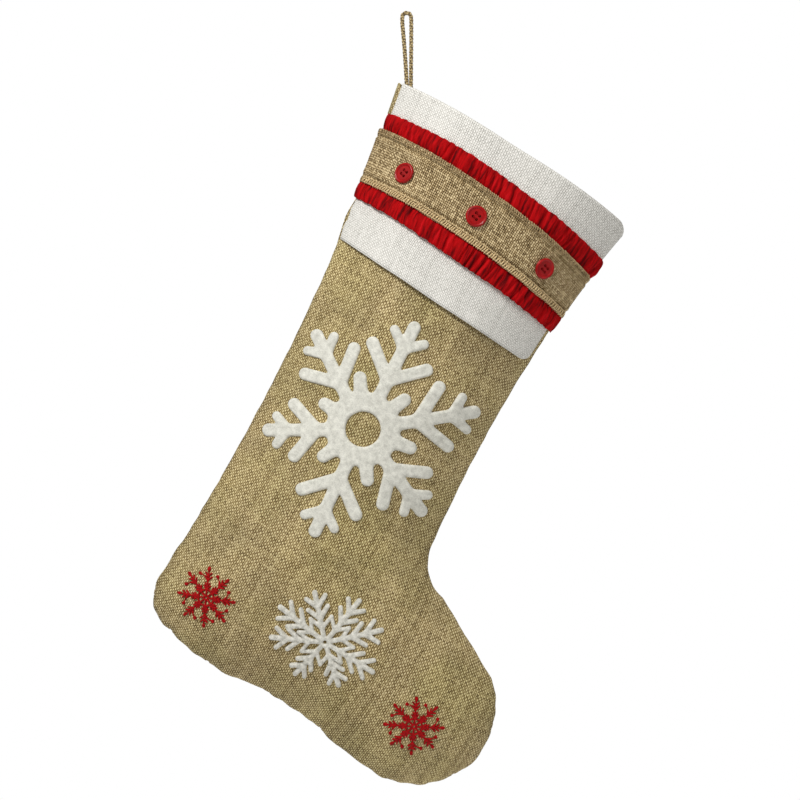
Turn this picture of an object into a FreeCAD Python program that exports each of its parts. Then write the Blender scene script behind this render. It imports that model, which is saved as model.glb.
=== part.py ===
"""Hanging stocking: a lined burlap leg with a folded linen cuff, two gathered ruffles,
a buttoned burlap band, felt and embroidered snowflakes, and a plaited cord loop.

Row frame: origin in the middle of the cord loop's eye, +X towards the toe, +Y from the
front panel to the back panel, +Z up, millimetres.
Drawing frame: every cloth piece is drawn flat as it lies on a table, x across the leg,
y up the leg, z from the side seam out towards the front. hang() then leans it under
the loop.
"""
import FreeCAD, Part
import math
import os
import Sketcher

from FreeCAD import Placement, Rotation, Vector

os.makedirs("parts", exist_ok=True)
doc = FreeCAD.newDocument("hanging_stocking")

# ---------------------------------------------------------------- driving dimensions
SIZES = [
    ("corner_x", -7.2, "leg corner under the loop, across"),
    ("corner_z", -50.7, "leg corner under the loop, height"),
    ("leg_tilt", 32.0, "lean of the leg when it hangs, degrees"),
    ("front_depth", 38.0, "bulge of the front panel in the middle"),
    ("back_depth", 26.0, "bulge of the back panel in the middle"),
    ("crown_reach", 77.0, "distance from the side seam where the bulge is full"),
    ("lining_inset", 6.5, "side seam to the edge of the lining"),
    ("lining_slack", 3.0, "how much shallower the lining is than its panel"),
    ("lining_drop", 21.0, "mouth edge to the top of the lining"),
    ("panel_lift", 0.6, "half of the gap that the side seam fills"),
    ("burlap", 1.2, "burlap thickness"),
    ("linen", 1.4, "cuff cloth thickness"),
    ("lining_cloth", 0.5, "lining thickness"),
    ("lining_lift", 0.3, "lining above its own surface"),
    ("cuff_lift", 2.0, "cuff above the front surface"),
    ("facing_lift", -0.5, "turned-in cloth behind the panels"),
    ("facing_cloth", 0.9, "turned-in cloth thickness"),
    ("facing_height", 20.0, "turned-in cloth, height below the mouth"),
    ("facing_inset", 8.0, "side seam to the edge of the turned-in cloth"),
    ("fold_height", 1.3, "height of the fold over the mouth edge"),
    ("fold_overlap", 0.3, "mouth edge to where the flat cloth starts"),
    ("cuff_fold", 3.8, "thickness across the cuff's fold"),
    ("hem_fold", 2.2, "thickness across the back panel's fold"),
    ("header_lift", 3.6, "ruffle above the front surface"),
    ("header_cloth", 1.0, "ruffle thickness under the band"),
    ("ruffle_height", 4.0, "ruffle thickness where it stands free"),
    ("header_depth", 5.0, "ruffle width caught under the band"),
    ("header_gap", 0.1, "ruffle's caught edge above its free part's underside"),
    ("band_lift", 4.8, "band above the front surface"),
    ("felt_lift", 2.0, "snowflakes above the front surface"),
    ("felt", 2.0, "felt thickness"),
    ("puffy_felt", 1.8, "small snowflake thickness"),
    ("embroidery", 1.0, "red snowflake thickness"),
    ("seam_outer", 1.1, "side seam to the outer edge of the seam allowance"),
    ("seam_inner", 4.6, "side seam to the inner edge of the seam allowance"),
    ("seam_cloth", 1.0, "seam allowance thickness"),
    ("seam_height", 48.0, "mouth corner down to where the side seam's stitches start"),
    ("cord_diameter", 3.0, "plaited cord"),
    ("eye_radius", 3.3, "cord centre line round the hook"),
    ("neck_x", 1.65, "where the cord leaves the leg, across"),
    ("neck_z", -50.4, "where the cord leaves the leg, height"),
    ("neck_radius", 2.4, "flexing end of the cord"),
    ("neck_gap", 0.3, "room round the flexing end"),
    ("tail_length", 15.0, "cord sewn into the leg"),
    ("tail_gap", 0.05, "half of the gap between the sewn-in ends"),
    ("tack_height", 4.0, "bar tack round the sewn-in cord"),
    ("tack_depth", 12.0, "cord's exit down to the foot of the bar tack"),
    ("tack_thread", 0.8, "bar tack thickness"),
    ("tack_gap", 0.1, "bar tack clear of the cord"),
    ("button_radius", 7.75, "button, outside"),
    ("button_base", 5.4, "button, flat underside"),
    ("button_waist", 1.5, "button, height of its widest line"),
    ("button_rim", 3.0, "button, height of the rim"),
    ("button_crest", 6.7, "button, radius of the rim's top line"),
    ("button_well", 5.3, "button, radius of the dished middle"),
    ("button_floor", 2.1, "button, height of the dished middle"),
    ("under_bow", 0.5, "button, roundness below its widest line"),
    ("shoulder_bow", 0.38, "button, roundness above its widest line"),
    ("lip_bow", 0.13, "button, roundness inside the rim"),
    ("button_turn", 32.0, "button, turn about its own axis, degrees"),
    ("button_standoff", 0.5, "button above the band"),
    ("hole_radius", 1.0, "button holes"),
    ("hole_circle", 2.4, "button hole centres from the button's centre"),
    ("hole_count", 4, "holes in a button"),
    ("thread_radius", 0.4, "sewing thread in a button hole"),
    ("thread_gap", 0.1, "sewing thread above the button's dished middle"),
    ("stitch_length", 3.2, "stitch, length"),
    ("stitch_width", 0.7, "stitch, width"),
    ("stitch_height", 0.5, "stitch, height"),
    ("stitch_gap", 0.25, "stitch above its cloth"),
    ("stitch_margin", 6.0, "side seam to the nearest band stitch"),
    ("upper_inset", 4.0, "band's upper edge down to its stitches"),
    ("upper_count", 52, "places along the band's upper stitches"),
    ("upper_slant", 8.0, "slant of the upper stitches, degrees"),
    ("lower_inset", 3.0, "band's lower edge up to its stitches"),
    ("lower_count", 64, "places along the band's lower stitches"),
    ("lower_slant", 35.0, "slant of the lower stitches, degrees"),
    ("hem_inset", 3.0, "hem's lower edge up to its stitches"),
    ("hem_count", 42, "spaces along the hem's stitches"),
    ("seam_stitch", 3.4, "side seam stitch, length"),
    ("seam_pitch", 5.2, "side seam stitch, spacing"),
    ("seam_thread", 0.4, "side seam thread radius"),
    ("seam_inward", 0.55, "side seam to the middle of its thread"),
]

dims = doc.addObject("Spreadsheet::Sheet", "dims")
for line, (alias, value, note) in enumerate(SIZES, start=1):
    dims.set(f"A{line}", note)
    dims.set(f"B{line}", str(value))
    dims.setAlias(f"B{line}", alias)
doc.recompute()


def size(alias):
    """A driving dimension, read from the sheet."""
    return float(dims.get(alias))


# ---------------------------------------------------------------- lines of the pattern
# Two points are a straight line; three are an arc through its start, middle and end.
SIDE_SEAM = [
    ((0.7, 2), (33, -180), (45, -365)),
    ((45, -365), (44.5, -404)),
    ((44.5, -404), (52, -428), (72, -438)),
    ((72, -438), (108, -443.5), (148, -439.5)),
    ((148, -439.5), (178, -438.5), (206, -441)),
    ((206, -441), (236, -446), (266, -447)),
    ((266, -447), (302, -429), (319, -394)),
    ((319, -394), (314, -364), (297, -341)),
    ((297, -341), (234, -309)),
    ((234, -309), (214, -298), (205.5, -279)),
    ((205.5, -279), (195.6, -170), (195.4, -90)),
    ((195.4, -90), (197.9, -48.4), (202.6, -7)),
]
MOUTH_CORNER = ((202.6, -7), (200.6, -2), (195.5, 0.2))
MOUTH = ((195.5, 0.2), (0.7, 2))
# The trimming blocks and the seam's surface run on past the leg by these.
SIDE_RISE = 60.0
RISE_TOP = MOUTH[1][1] + SIDE_RISE
LEFT_RISE = ((-14.0, RISE_TOP), (0.7, 2))
RIGHT_RISE = ((202.6, -7), (206.0, RISE_TOP))
MOUTH_ENDS = (-20.0, 340.0)
LEG_HEIGHT = 600.0
TRIM_HEIGHT = 90.0
SEAM_STEP = 2.0
RISE_STEPS = 40
NEAR_SEAM = 6.0

# Each cross line runs past both side seams, which trim it.
CUFF_TOP = ((-8, 30), (214, 30))
RUFFLE_TOP = ((-8, -21.5), (95, -23.2), (214, -32.0))
BAND_TOP = ((-8, -34.5), (100, -37.8), (214, -48.5))
BAND_BOTTOM = ((-8, -76.2), (100, -77.0), (214, -84.9))
RUFFLE_BOTTOM = ((-8, -86.8), (100, -92.8), (214, -97.9))
CUFF_EDGE = ((-8, -119.0), (107, -126.4), (214, -125.5))
BUTTONS = {
    "left": (43.4, -57.7),
    "middle": (104.0, -58.9),
    "right": (165.0, -62.9),
}
FELT_CENTRE = (115.9, -231.8)
PUFFY_CENTRE = (173.4, -375.6)
HEEL_CENTRE = (83.8, -397.6)
TOE_CENTRE = (262.3, -396.4)


def flat(point, height=0.0):
    """A pattern point in the drawing frame."""
    return Vector(point[0], point[1], height)


def curve(run):
    """The line or arc of one run of the pattern."""
    points = [flat(point) for point in run]
    if len(points) == 2:
        return Part.LineSegment(points[0], points[1])
    return Part.Arc(*points)


def shifted(run, drop):
    """The same run, lowered down the leg."""
    return tuple((x, y - drop) for x, y in run)


def mouth_height(x):
    """The y of the mouth edge at x."""
    (right_x, right_y), (left_x, left_y) = MOUTH
    return left_y + (right_y - left_y) * (x - left_x) / (right_x - left_x)


def seam_samples():
    """Points along the side seam, carried straight on above the mouth."""
    points = []
    for run in SIDE_SEAM:
        edge = curve(run).toShape()
        count = max(2, round(edge.Length / SEAM_STEP) + 1)
        stretch = [(p.x, p.y) for p in edge.discretize(Number=count)]
        if math.dist(stretch[0], run[0]) > math.dist(stretch[-1], run[0]):
            stretch.reverse()
        points += stretch if not points else stretch[1:]
    for end, beside in ((0, 2), (-1, -3)):
        foot = points[end]
        length = math.dist(foot, points[beside])
        rise = [(foot[i] - points[beside][i]) / length for i in (0, 1)]
        steps = [SEAM_STEP * n for n in range(1, RISE_STEPS + 1)]
        more = [(foot[0] + rise[0] * step, foot[1] + rise[1] * step) for step in steps]
        if end == 0:
            points = more[::-1] + points
        else:
            points += more
    return points


SEAM_POINTS = seam_samples()


def seam_distance(x, y):
    """Distance to the side seam, negative outside the leg.

    Near the seam it is the distance to the nearest point. Further in it is a blend over the
    whole seam, which has no crease along the middle of the leg.
    """
    total, nearest, inside = 0.0, math.inf, False
    before = SEAM_POINTS[-1]
    for point in SEAM_POINTS:
        if (before[1] > y) != (point[1] > y):
            crossing = before[0] + (point[0] - before[0]) * (y - before[1]) / (point[1] - before[1])
            inside ^= x < crossing
        squared = (x - point[0]) ** 2 + (y - point[1]) ** 2
        nearest = min(nearest, squared)
        total += 2.0 / max(squared, 1.0) ** 2
        before = point
    distance = (2.0 * total / math.pi) ** (-1.0 / 3.0)
    if nearest < NEAR_SEAM ** 2:
        distance = math.sqrt(nearest)
    return distance if inside else -distance


def crown(distance, depth, reach):
    """Height of a panel's bulge at a distance from its edge."""
    share = min(distance / reach, 1.0)
    if share < 0.0:
        return 2.0 * depth * share / (1.0 - share)
    return depth * share * (2.0 - share)


def front_height(x, y):
    """Height of the front surface in the drawing frame."""
    return crown(seam_distance(x, y), size("front_depth"), size("crown_reach"))


def front_normal(x, y, probe=1.0):
    """Direction straight out of the front surface."""
    slope_x = (front_height(x + probe, y) - front_height(x - probe, y)) / (2.0 * probe)
    slope_y = (front_height(x, y + probe) - front_height(x, y - probe)) / (2.0 * probe)
    return Vector(-slope_x, -slope_y, 1.0).normalize()


# ---------------------------------------------------------------- helpers
pieces = []


def bind(item, **cells):
    """Binds properties of an object to cells of the sheet."""
    for name, cell in cells.items():
        item.setExpression(name.replace("__", "."), f"dims.{cell}")


def leg_placement():
    """Stands the drawing frame up and leans it under the loop."""
    lean = Rotation(Vector(0, 1, 0), size("leg_tilt")) * Rotation(Vector(1, 0, 0), 90.0)
    return Placement(Vector(size("corner_x"), 0, size("corner_z")), lean)


def piece(item, label):
    """Gives a finished sub-part its name."""
    item.Label = label
    pieces.append(item)
    return item


def hang(item, label, lift=None):
    """Places a cloth piece on the hanging leg, lifted off its surface."""
    item.Placement = leg_placement()
    bind(item, Placement__Base__x="corner_x", Placement__Base__z="corner_z")
    if lift:
        item.setExpression("Placement.Base.y", lift)
    return piece(item, label)


def outline_sketch(name, runs):
    """A closed outline on the drawing plane."""
    sketch = doc.addObject("Sketcher::SketchObject", name)
    sketch.addGeometry([curve(run) for run in runs], False)
    return sketch


def prism(name, base):
    """A tall straight-sided block over an outline, for trimming cloth."""
    block = doc.addObject("Part::Extrusion", name)
    block.Base = base
    block.DirMode = "Custom"
    block.Dir = Vector(0, 0, 1)
    block.Solid = True
    block.LengthFwd = TRIM_HEIGHT
    block.LengthRev = TRIM_HEIGHT
    return block


def inset_prism(name, cell):
    """The leg's outline, drawn in from the side seam."""
    inner = doc.addObject("Part::Offset2D", f"{name}_outline")
    inner.Source = tall_outline
    inner.Join = "Arc"
    inner.setExpression("Value", f"-dims.{cell}")
    return prism(name, inner)


def strip_prism(name, upper, lower):
    """A strip right across the leg between two cross lines."""
    left = (lower[0], upper[0])
    right = (upper[-1], lower[-1])
    return prism(name, outline_sketch(f"{name}_outline", [upper, right, lower[::-1], left]))


def mouth_strip(name, top, bottom):
    """A strip parallel to the mouth edge, from one depth below it to another."""
    ends = [(x, mouth_height(x)) for x in MOUTH_ENDS]
    return strip_prism(name, shifted(ends, top), shifted(ends, bottom))


def trimmed(name, surface, *blocks):
    """The part of a surface that lies inside all the blocks."""
    cut = surface
    for number, block in enumerate(blocks):
        common = doc.addObject("Part::Common", f"{name}_trim_{number}")
        common.Base = cut
        common.Tool = block
        cut = common
    return cut


def sheet(name, surface, blocks, cell, lift=None, side=1):
    """A cloth layer: a trimmed surface thickened away from the seam plane."""
    cloth = doc.addObject("Part::Extrusion", name)
    cloth.Base = trimmed(name, surface, *blocks)
    cloth.DirMode = "Custom"
    cloth.Dir = Vector(0, 0, side)
    cloth.Solid = True
    bind(cloth, LengthFwd=cell)
    if lift:
        cloth.setExpression("Placement.Base.z", lift)
    return cloth


def fuse(name, parts):
    """One piece of cloth made of overlapping stretches."""
    joined = doc.addObject("Part::MultiFuse", name)
    joined.Shapes = parts
    return joined


# ---------------------------------------------------------------- crowned surfaces
GRID_STEP = 10.0
GRID_X = [-30.0 + GRID_STEP * n for n in range(39)]
GRID_Y = [-480.0 + GRID_STEP * n for n in range(54)]
distances = [[seam_distance(x, y) for y in GRID_Y] for x in GRID_X]


def crowned_surface(name, depth, reach, inset=0.0, side=1):
    """A smooth surface that rises from the side seam to full depth."""
    points = []
    for x, column in zip(GRID_X, distances):
        heights = [side * crown(distance - inset, depth, reach) for distance in column]
        points.append([Vector(x, y, z) for y, z in zip(GRID_Y, heights)])
    spline = Part.BSplineSurface()
    spline.interpolate(points)
    surface = doc.addObject("Part::Feature", name)
    surface.Shape = spline.toShape()
    return surface


reach = size("crown_reach")
inset = size("lining_inset")
slack = size("lining_slack")
front_surface = crowned_surface("front_surface", size("front_depth"), reach)
back_surface = crowned_surface("back_surface", size("back_depth"), reach, side=-1)
front_inner = crowned_surface(
    "front_inner", size("front_depth") - slack, reach - inset, inset)
back_inner = crowned_surface(
    "back_inner", size("back_depth") - slack, reach - inset, inset, side=-1)

# ---------------------------------------------------------------- trimming blocks
outline = prism("outline_block", outline_sketch("outline", SIDE_SEAM + [MOUTH_CORNER, MOUTH]))
tall_outline = outline_sketch(
    "tall_outline", [LEFT_RISE] + SIDE_SEAM + [RIGHT_RISE, (RIGHT_RISE[-1], LEFT_RISE[0])])
lining_outline = inset_prism("lining_block", "lining_inset")
facing_outline = inset_prism("facing_block", "facing_inset")
allowance_outer = inset_prism("allowance_outer", "seam_outer")
allowance_inner = inset_prism("allowance_inner", "seam_inner")
below_fold = mouth_strip("below_fold", size("fold_height") + size("fold_overlap"), LEG_HEIGHT)
below_mouth = mouth_strip("below_mouth", size("fold_overlap"), LEG_HEIGHT)
below_facing = mouth_strip("below_facing", size("lining_drop"), LEG_HEIGHT)
facing_strip = mouth_strip("facing_strip", size("fold_overlap"), size("facing_height"))
fold_strip = mouth_strip("fold_strip", 0.0, size("fold_height"))
doc.recompute()

# ---------------------------------------------------------------- panels and lining
hang(sheet("front_cloth", front_surface, [outline, below_fold], "burlap"),
     "front_panel", "-dims.panel_lift")

back_parts = [
    sheet("back_cloth", back_surface, [outline, below_mouth], "burlap",
          "-dims.panel_lift", -1),
    sheet("back_fold", back_surface, [facing_outline, fold_strip], "hem_fold",
          "-dims.facing_lift", -1),
    sheet("back_hem", back_surface, [facing_outline, facing_strip], "facing_cloth",
          "-dims.facing_lift", -1),
]
hang(fuse("back_joined", back_parts), "back_panel")

hang(sheet("front_lining_cloth", front_inner, [lining_outline, below_facing], "lining_cloth"),
     "front_lining", "-dims.lining_lift")
hang(sheet("back_lining_cloth", back_inner, [lining_outline, below_facing], "lining_cloth",
           side=-1),
     "back_lining", "dims.lining_lift")

# ---------------------------------------------------------------- side seam
ring = doc.addObject("Part::Cut", "allowance_ring")
ring.Base = allowance_outer
ring.Tool = allowance_inner
slice_block = doc.addObject("Part::Box", "allowance_slice")
slice_block.Length = GRID_X[-1] - GRID_X[0]
slice_block.Width = GRID_Y[-1] - GRID_Y[0]
slice_block.Placement.Base = Vector(GRID_X[0], GRID_Y[0], 0)
bind(slice_block, Height="seam_cloth", Placement__Base__z="seam_cloth / -2")
allowance = doc.addObject("Part::MultiCommon", "allowance")
allowance.Shapes = [ring, slice_block, below_fold]
hang(allowance, "seam_allowance")


def along_seam(pitch):
    """Places and directions along the side seam at an even spacing."""
    spots = []
    travelled = 0.0
    for before, after in zip(SEAM_POINTS, SEAM_POINTS[1:]):
        length = math.dist(before, after)
        travelled += length
        if travelled < pitch:
            continue
        travelled -= pitch
        if after[1] < -size("seam_height"):
            spots.append((after, ((after[0] - before[0]) / length, (after[1] - before[1]) / length)))
    return spots


def seam_stitches():
    """Short lengths of thread lying in the side seam."""
    threads = []
    length, radius = size("seam_stitch"), size("seam_thread")
    for spot, way in along_seam(size("seam_pitch")):
        inward = Vector(-way[1], way[0], 0) * size("seam_inward")
        heading = Vector(way[0], way[1], 0)
        start = flat(spot) + inward - heading * (length / 2.0)
        threads.append(Part.makeCylinder(radius, length, start, heading))
    return Part.makeCompound(threads)


seam_thread = doc.addObject("Part::Feature", "seam_thread_shape")
seam_thread.Shape = seam_stitches()
hang(seam_thread, "seam_stitching")

# ---------------------------------------------------------------- cuff, ruffles, band
cuff_strip = strip_prism("cuff_strip", CUFF_TOP, CUFF_EDGE)
cuff_parts = [
    sheet("cuff_cloth", front_surface, [outline, below_mouth, cuff_strip], "linen",
          "dims.cuff_lift"),
    sheet("cuff_fold_over", front_surface, [facing_outline, fold_strip], "cuff_fold",
          "dims.facing_lift"),
    sheet("cuff_facing", front_surface, [facing_outline, facing_strip], "facing_cloth",
          "dims.facing_lift"),
]
hang(fuse("cuff_joined", cuff_parts), "cuff")


# Shares of the header's width: the free part stops this far short of the band's edge, and
# the header reaches this far out of it.
LAP_SHARE = 0.08
OVERLAP_SHARE = 0.3


def ruffle(label, free_edge, band_edge, header_drop):
    """A gathered ruffle: its header lies under the band, the rest stands free."""
    caught = shifted(band_edge, header_drop)
    lap = shifted(band_edge, -LAP_SHARE * header_drop)
    edges = [(free_edge, lap), (shifted(band_edge, -OVERLAP_SHARE * header_drop), caught)]
    if header_drop < 0:
        edges = [(lower, upper) for upper, lower in edges]
    puff_strip, header_strip = [
        strip_prism(f"{label}_strip_{n}", upper, lower) for n, (upper, lower) in enumerate(edges)]
    parts = [
        sheet(f"{label}_puff", front_surface, [outline, puff_strip], "ruffle_height"),
        sheet(f"{label}_header", front_surface, [outline, header_strip], "header_cloth",
              "dims.header_gap"),
    ]
    hang(fuse(f"{label}_joined", parts), label, "-dims.header_lift")


ruffle("ruffle_upper", RUFFLE_TOP, BAND_TOP, size("header_depth"))
ruffle("ruffle_lower", RUFFLE_BOTTOM, BAND_BOTTOM, -size("header_depth"))
band_strip = strip_prism("band_strip", BAND_TOP, BAND_BOTTOM)
hang(sheet("band_cloth", front_surface, [outline, band_strip], "burlap"),
     "burlap_band", "-dims.band_lift")


def resting(point, lift, turn=0.0):
    """Stands a piece on the front surface, turned about the surface's normal."""
    x, y = point
    normal = front_normal(x, y)
    seat = flat(point, front_height(x, y) + lift)
    return Placement(seat, Rotation(Vector(0, 0, 1), normal) * Rotation(Vector(0, 0, 1), turn))


def row_of_stitches(run, drop, lift, count, slant):
    """Stitches along a cross line, slanted one way and then the other."""
    line = curve(run).toShape()
    spots = [(p.x, p.y - drop) for p in line.discretize(Number=count)]
    length, width, height = size("stitch_length"), size("stitch_width"), size("stitch_height")
    stitches = []
    for number, spot in enumerate(spots):
        if seam_distance(*spot) < size("stitch_margin"):
            continue
        block = Part.makeBox(length, width, height, Vector(-length / 2.0, -width / 2.0, 0))
        turn = slant if number % 2 else -slant
        block.Placement = resting(spot, lift, turn)
        stitches.append(block)
    return Part.makeCompound(stitches)


def stitching(edge, run, drop):
    """One node of band stitches, along the band's upper or lower edge."""
    lift = size("band_lift") + size("burlap") + size("stitch_gap")
    count = int(size(f"{edge}_count"))
    thread = doc.addObject("Part::Feature", f"{edge}_thread")
    thread.Shape = row_of_stitches(run, drop, lift, count, size(f"{edge}_slant"))
    hang(thread, f"band_stitching_{edge}")


stitching("upper", BAND_TOP, size("upper_inset"))
stitching("lower", BAND_BOTTOM, -size("lower_inset"))


def back_hem_stitches():
    """Straight stitches through the back panel's hem, on its outer face."""
    length, width, height = size("stitch_length"), size("stitch_width"), size("stitch_height")
    depth = size("panel_lift") + size("burlap") + size("stitch_gap")
    count = int(size("hem_count"))
    probe = 1.0
    stitches = []
    for number in range(1, count):
        x = MOUTH[0][0] * number / count
        y = mouth_height(x) - size("facing_height") + size("hem_inset")
        level = crown(seam_distance(x, y), size("back_depth"), reach)
        ahead = crown(seam_distance(x + probe, y), size("back_depth"), reach)
        block = Part.makeBox(length, width, height, Vector(-length / 2.0, -width / 2.0, 0))
        tilt = Rotation(Vector(0, 1, 0), math.degrees(math.atan((ahead - level) / probe)))
        face_back = Rotation(Vector(1, 0, 0), 180.0)
        block.Placement = Placement(Vector(x, y, -level - depth), tilt * face_back)
        stitches.append(block)
    return Part.makeCompound(stitches)


hem_thread = doc.addObject("Part::Feature", "back_hem_thread")
hem_thread.Shape = back_hem_stitches()
hang(hem_thread, "back_hem_stitching")


# ---------------------------------------------------------------- buttons
def origin_plane(body, role):
    """One of a body's own origin planes."""
    return next(item for item in body.Origin.OriginFeatures if item.Role == role)


def attached_sketch(body, name, role):
    """A sketch on one of a body's origin planes."""
    sketch = body.newObject("Sketcher::SketchObject", name)
    sketch.AttachmentSupport = (origin_plane(body, role), [""])
    sketch.MapMode = "FlatFace"
    return sketch


def bowed(start, end, bow):
    """An arc that stands off its chord, on the right of the way from start to end."""
    way = (end - start).normalize()
    return Part.Arc(start, (start + end) / 2.0 + Vector(way.y, -way.x, 0) * bow, end)


def button_profile():
    """Half section of a button: flat base, rolled rim, dished middle."""
    floor = size("button_floor")
    middle, base = Vector(0, 0, 0), Vector(size("button_base"), 0, 0)
    waist = Vector(size("button_radius"), size("button_waist"), 0)
    crest = Vector(size("button_crest"), size("button_rim"), 0)
    well, top = Vector(size("button_well"), floor, 0), Vector(0, floor, 0)
    return [
        Part.LineSegment(middle, base),
        bowed(base, waist, size("under_bow")),
        bowed(waist, crest, size("shoulder_bow")),
        bowed(crest, well, size("lip_bow")),
        Part.LineSegment(well, top),
        Part.LineSegment(top, middle),
    ]


def button(side, point):
    """A four-hole button turned from its half section."""
    body = doc.addObject("PartDesign::Body", f"button_body_{side}")
    profile = attached_sketch(body, f"button_profile_{side}", "XZ_Plane")
    profile.addGeometry(button_profile(), False)
    turned = body.newObject("PartDesign::Revolution", f"button_turned_{side}")
    turned.Profile = profile
    turned.ReferenceAxis = (profile, ["V_Axis"])
    turned.Angle = 360.0
    doc.recompute()
    whole = turned.Shape.Volume
    hole_sketch = attached_sketch(body, f"button_hole_{side}", "XY_Plane")
    ring_x, hole = size("hole_circle"), size("hole_radius")
    hole_sketch.addGeometry(Part.Circle(Vector(ring_x, 0, 0), Vector(0, 0, 1), hole), False)
    hole_sketch.addConstraint(Sketcher.Constraint("Radius", 0, hole))
    hole_sketch.addConstraint(Sketcher.Constraint("DistanceX", -1, 1, 0, 3, ring_x))
    hole_sketch.addConstraint(Sketcher.Constraint("PointOnObject", 0, 3, -1))
    bind(hole_sketch, **{"Constraints[0]": "hole_radius", "Constraints[1]": "hole_circle"})
    pocket = body.newObject("PartDesign::Pocket", f"button_pocket_{side}")
    pocket.Profile = hole_sketch
    pocket.Type = "ThroughAll"
    pocket.Midplane = True
    holes = body.newObject("PartDesign::PolarPattern", f"button_holes_{side}")
    holes.Originals = [pocket]
    holes.Axis = (hole_sketch, ["N_Axis"])
    holes.Angle = 360.0
    bind(holes, Occurrences="hole_count")
    body.Tip = holes
    doc.recompute()
    drilled = whole - body.Shape.Volume
    print(f"button_{side}: holes take {drilled:.2f} of {whole:.1f} cubic mm")
    seat = resting(point, size("band_lift") + size("burlap"), size("button_turn"))
    lifted = seat * Placement(Vector(0, 0, size("button_standoff")), Rotation())
    body.Placement = leg_placement() * lifted
    piece(body, f"button_{side}")
    return lifted


def button_thread(side, seat):
    """Two bars of thread over a button, with their ends down its holes."""
    radius, ring_x = size("thread_radius"), size("hole_circle")
    top = size("button_floor") + radius + size("thread_gap")
    corners = [Vector(ring_x, 0, 0), Vector(0, ring_x, 0), Vector(-ring_x, 0, 0),
               Vector(0, -ring_x, 0)]
    shape = None
    for first, second in ((0, 1), (2, 3)):
        start, end = corners[first], corners[second]
        strand = [Part.makeCylinder(radius, top, start), Part.makeCylinder(radius, top, end)]
        lift = Vector(0, 0, top)
        strand.append(Part.makeCylinder(radius, (end - start).Length, start + lift, end - start))
        strand += [Part.makeSphere(radius, start + lift), Part.makeSphere(radius, end + lift)]
        bar = strand[0].multiFuse(strand[1:])
        shape = bar if shape is None else Part.makeCompound([shape, bar])
    thread = doc.addObject("Part::Feature", f"button_thread_shape_{side}")
    thread.Shape = shape
    thread.Placement = leg_placement() * seat
    piece(thread, f"button_thread_{side}")


for side, point in BUTTONS.items():
    button_thread(side, button(side, point))


# ---------------------------------------------------------------- snowflakes
def stadium(start, end, width):
    """A bar with round ends."""
    heading = Vector(end[0] - start[0], end[1] - start[1], 0).normalize()
    across = Vector(-heading.y, heading.x, 0) * (width / 2.0)
    first, last = flat(start), flat(end)
    tip = heading * (width / 2.0)
    return [
        Part.LineSegment(first - across, last - across),
        Part.Arc(last - across, last + tip, last + across),
        Part.LineSegment(last + across, first + across),
        Part.Arc(first + across, first - tip, first - across),
    ]


def from_centre(radius, degrees):
    """A point at a radius and an angle."""
    return (radius * math.cos(math.radians(degrees)), radius * math.sin(math.radians(degrees)))


def snowflake_block(name, disc, hole, bars, count, centre, first_arm):
    """A trimming block in the shape of a snowflake: a disc, arms and a middle hole."""
    body = doc.addObject("PartDesign::Body", name)
    disc_sketch = attached_sketch(body, f"{name}_disc_outline", "XY_Plane")
    disc_sketch.addGeometry(Part.Circle(Vector(), Vector(0, 0, 1), disc), False)
    disc_sketch.addGeometry(Part.Circle(Vector(), Vector(0, 0, 1), hole), False)
    base = body.newObject("PartDesign::Pad", f"{name}_disc")
    base.Profile = disc_sketch
    base.Length = TRIM_HEIGHT
    pads = []
    for number, (start, end, width) in enumerate(bars):
        bar_sketch = attached_sketch(body, f"{name}_bar_outline_{number}", "XY_Plane")
        bar_sketch.addGeometry(stadium(start, end, width), False)
        pad = body.newObject("PartDesign::Pad", f"{name}_bar_{number}")
        pad.Profile = bar_sketch
        pad.Length = TRIM_HEIGHT
        pads.append(pad)
    arms = body.newObject("PartDesign::PolarPattern", f"{name}_arms")
    arms.Originals = pads
    arms.Axis = (disc_sketch, ["N_Axis"])
    arms.Angle = 360.0
    arms.Occurrences = count
    body.Tip = arms
    body.Placement = Placement(flat(centre), Rotation(Vector(0, 0, 1), first_arm))
    return body


def branch_pair(root, tip, spread, width):
    """Two mirrored side branches of an arm that lies along x."""
    return [((root, 0.0), (tip, side * spread), width) for side in (1, -1)]


FELT_BARS = [((24.0, 0.0), (76.0, 0.0), 9.0)]
FELT_BARS += branch_pair(39.0, 56.0, 25.0, 9.5)
FELT_BARS += branch_pair(62.0, 72.0, 17.0, 7.0)
FELT_BARS += [(from_centre(22.0, 30.0), from_centre(37.0, 30.0), 9.0)]
felt_block = snowflake_block(
    "felt_block", disc=27.0, hole=12.5, bars=FELT_BARS, count=6, centre=FELT_CENTRE, first_arm=36.0)
hang(sheet("felt_cloth", front_surface, [felt_block], "felt"),
     "felt_snowflake", "-dims.felt_lift")

PUFFY_BARS = [((8.0, 0.0), (38.0, 0.0), 3.6)]
PUFFY_BARS += branch_pair(26.0, 34.0, 7.0, 3.2)
PUFFY_BARS += branch_pair(16.0, 23.0, 5.5, 3.2)
puffy_block = snowflake_block(
    "puffy_block", disc=10.5, hole=2.0, bars=PUFFY_BARS, count=8, centre=PUFFY_CENTRE, first_arm=0.0)
hang(sheet("puffy_cloth", front_surface, [puffy_block], "puffy_felt"),
     "small_snowflake", "-dims.felt_lift")

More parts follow.
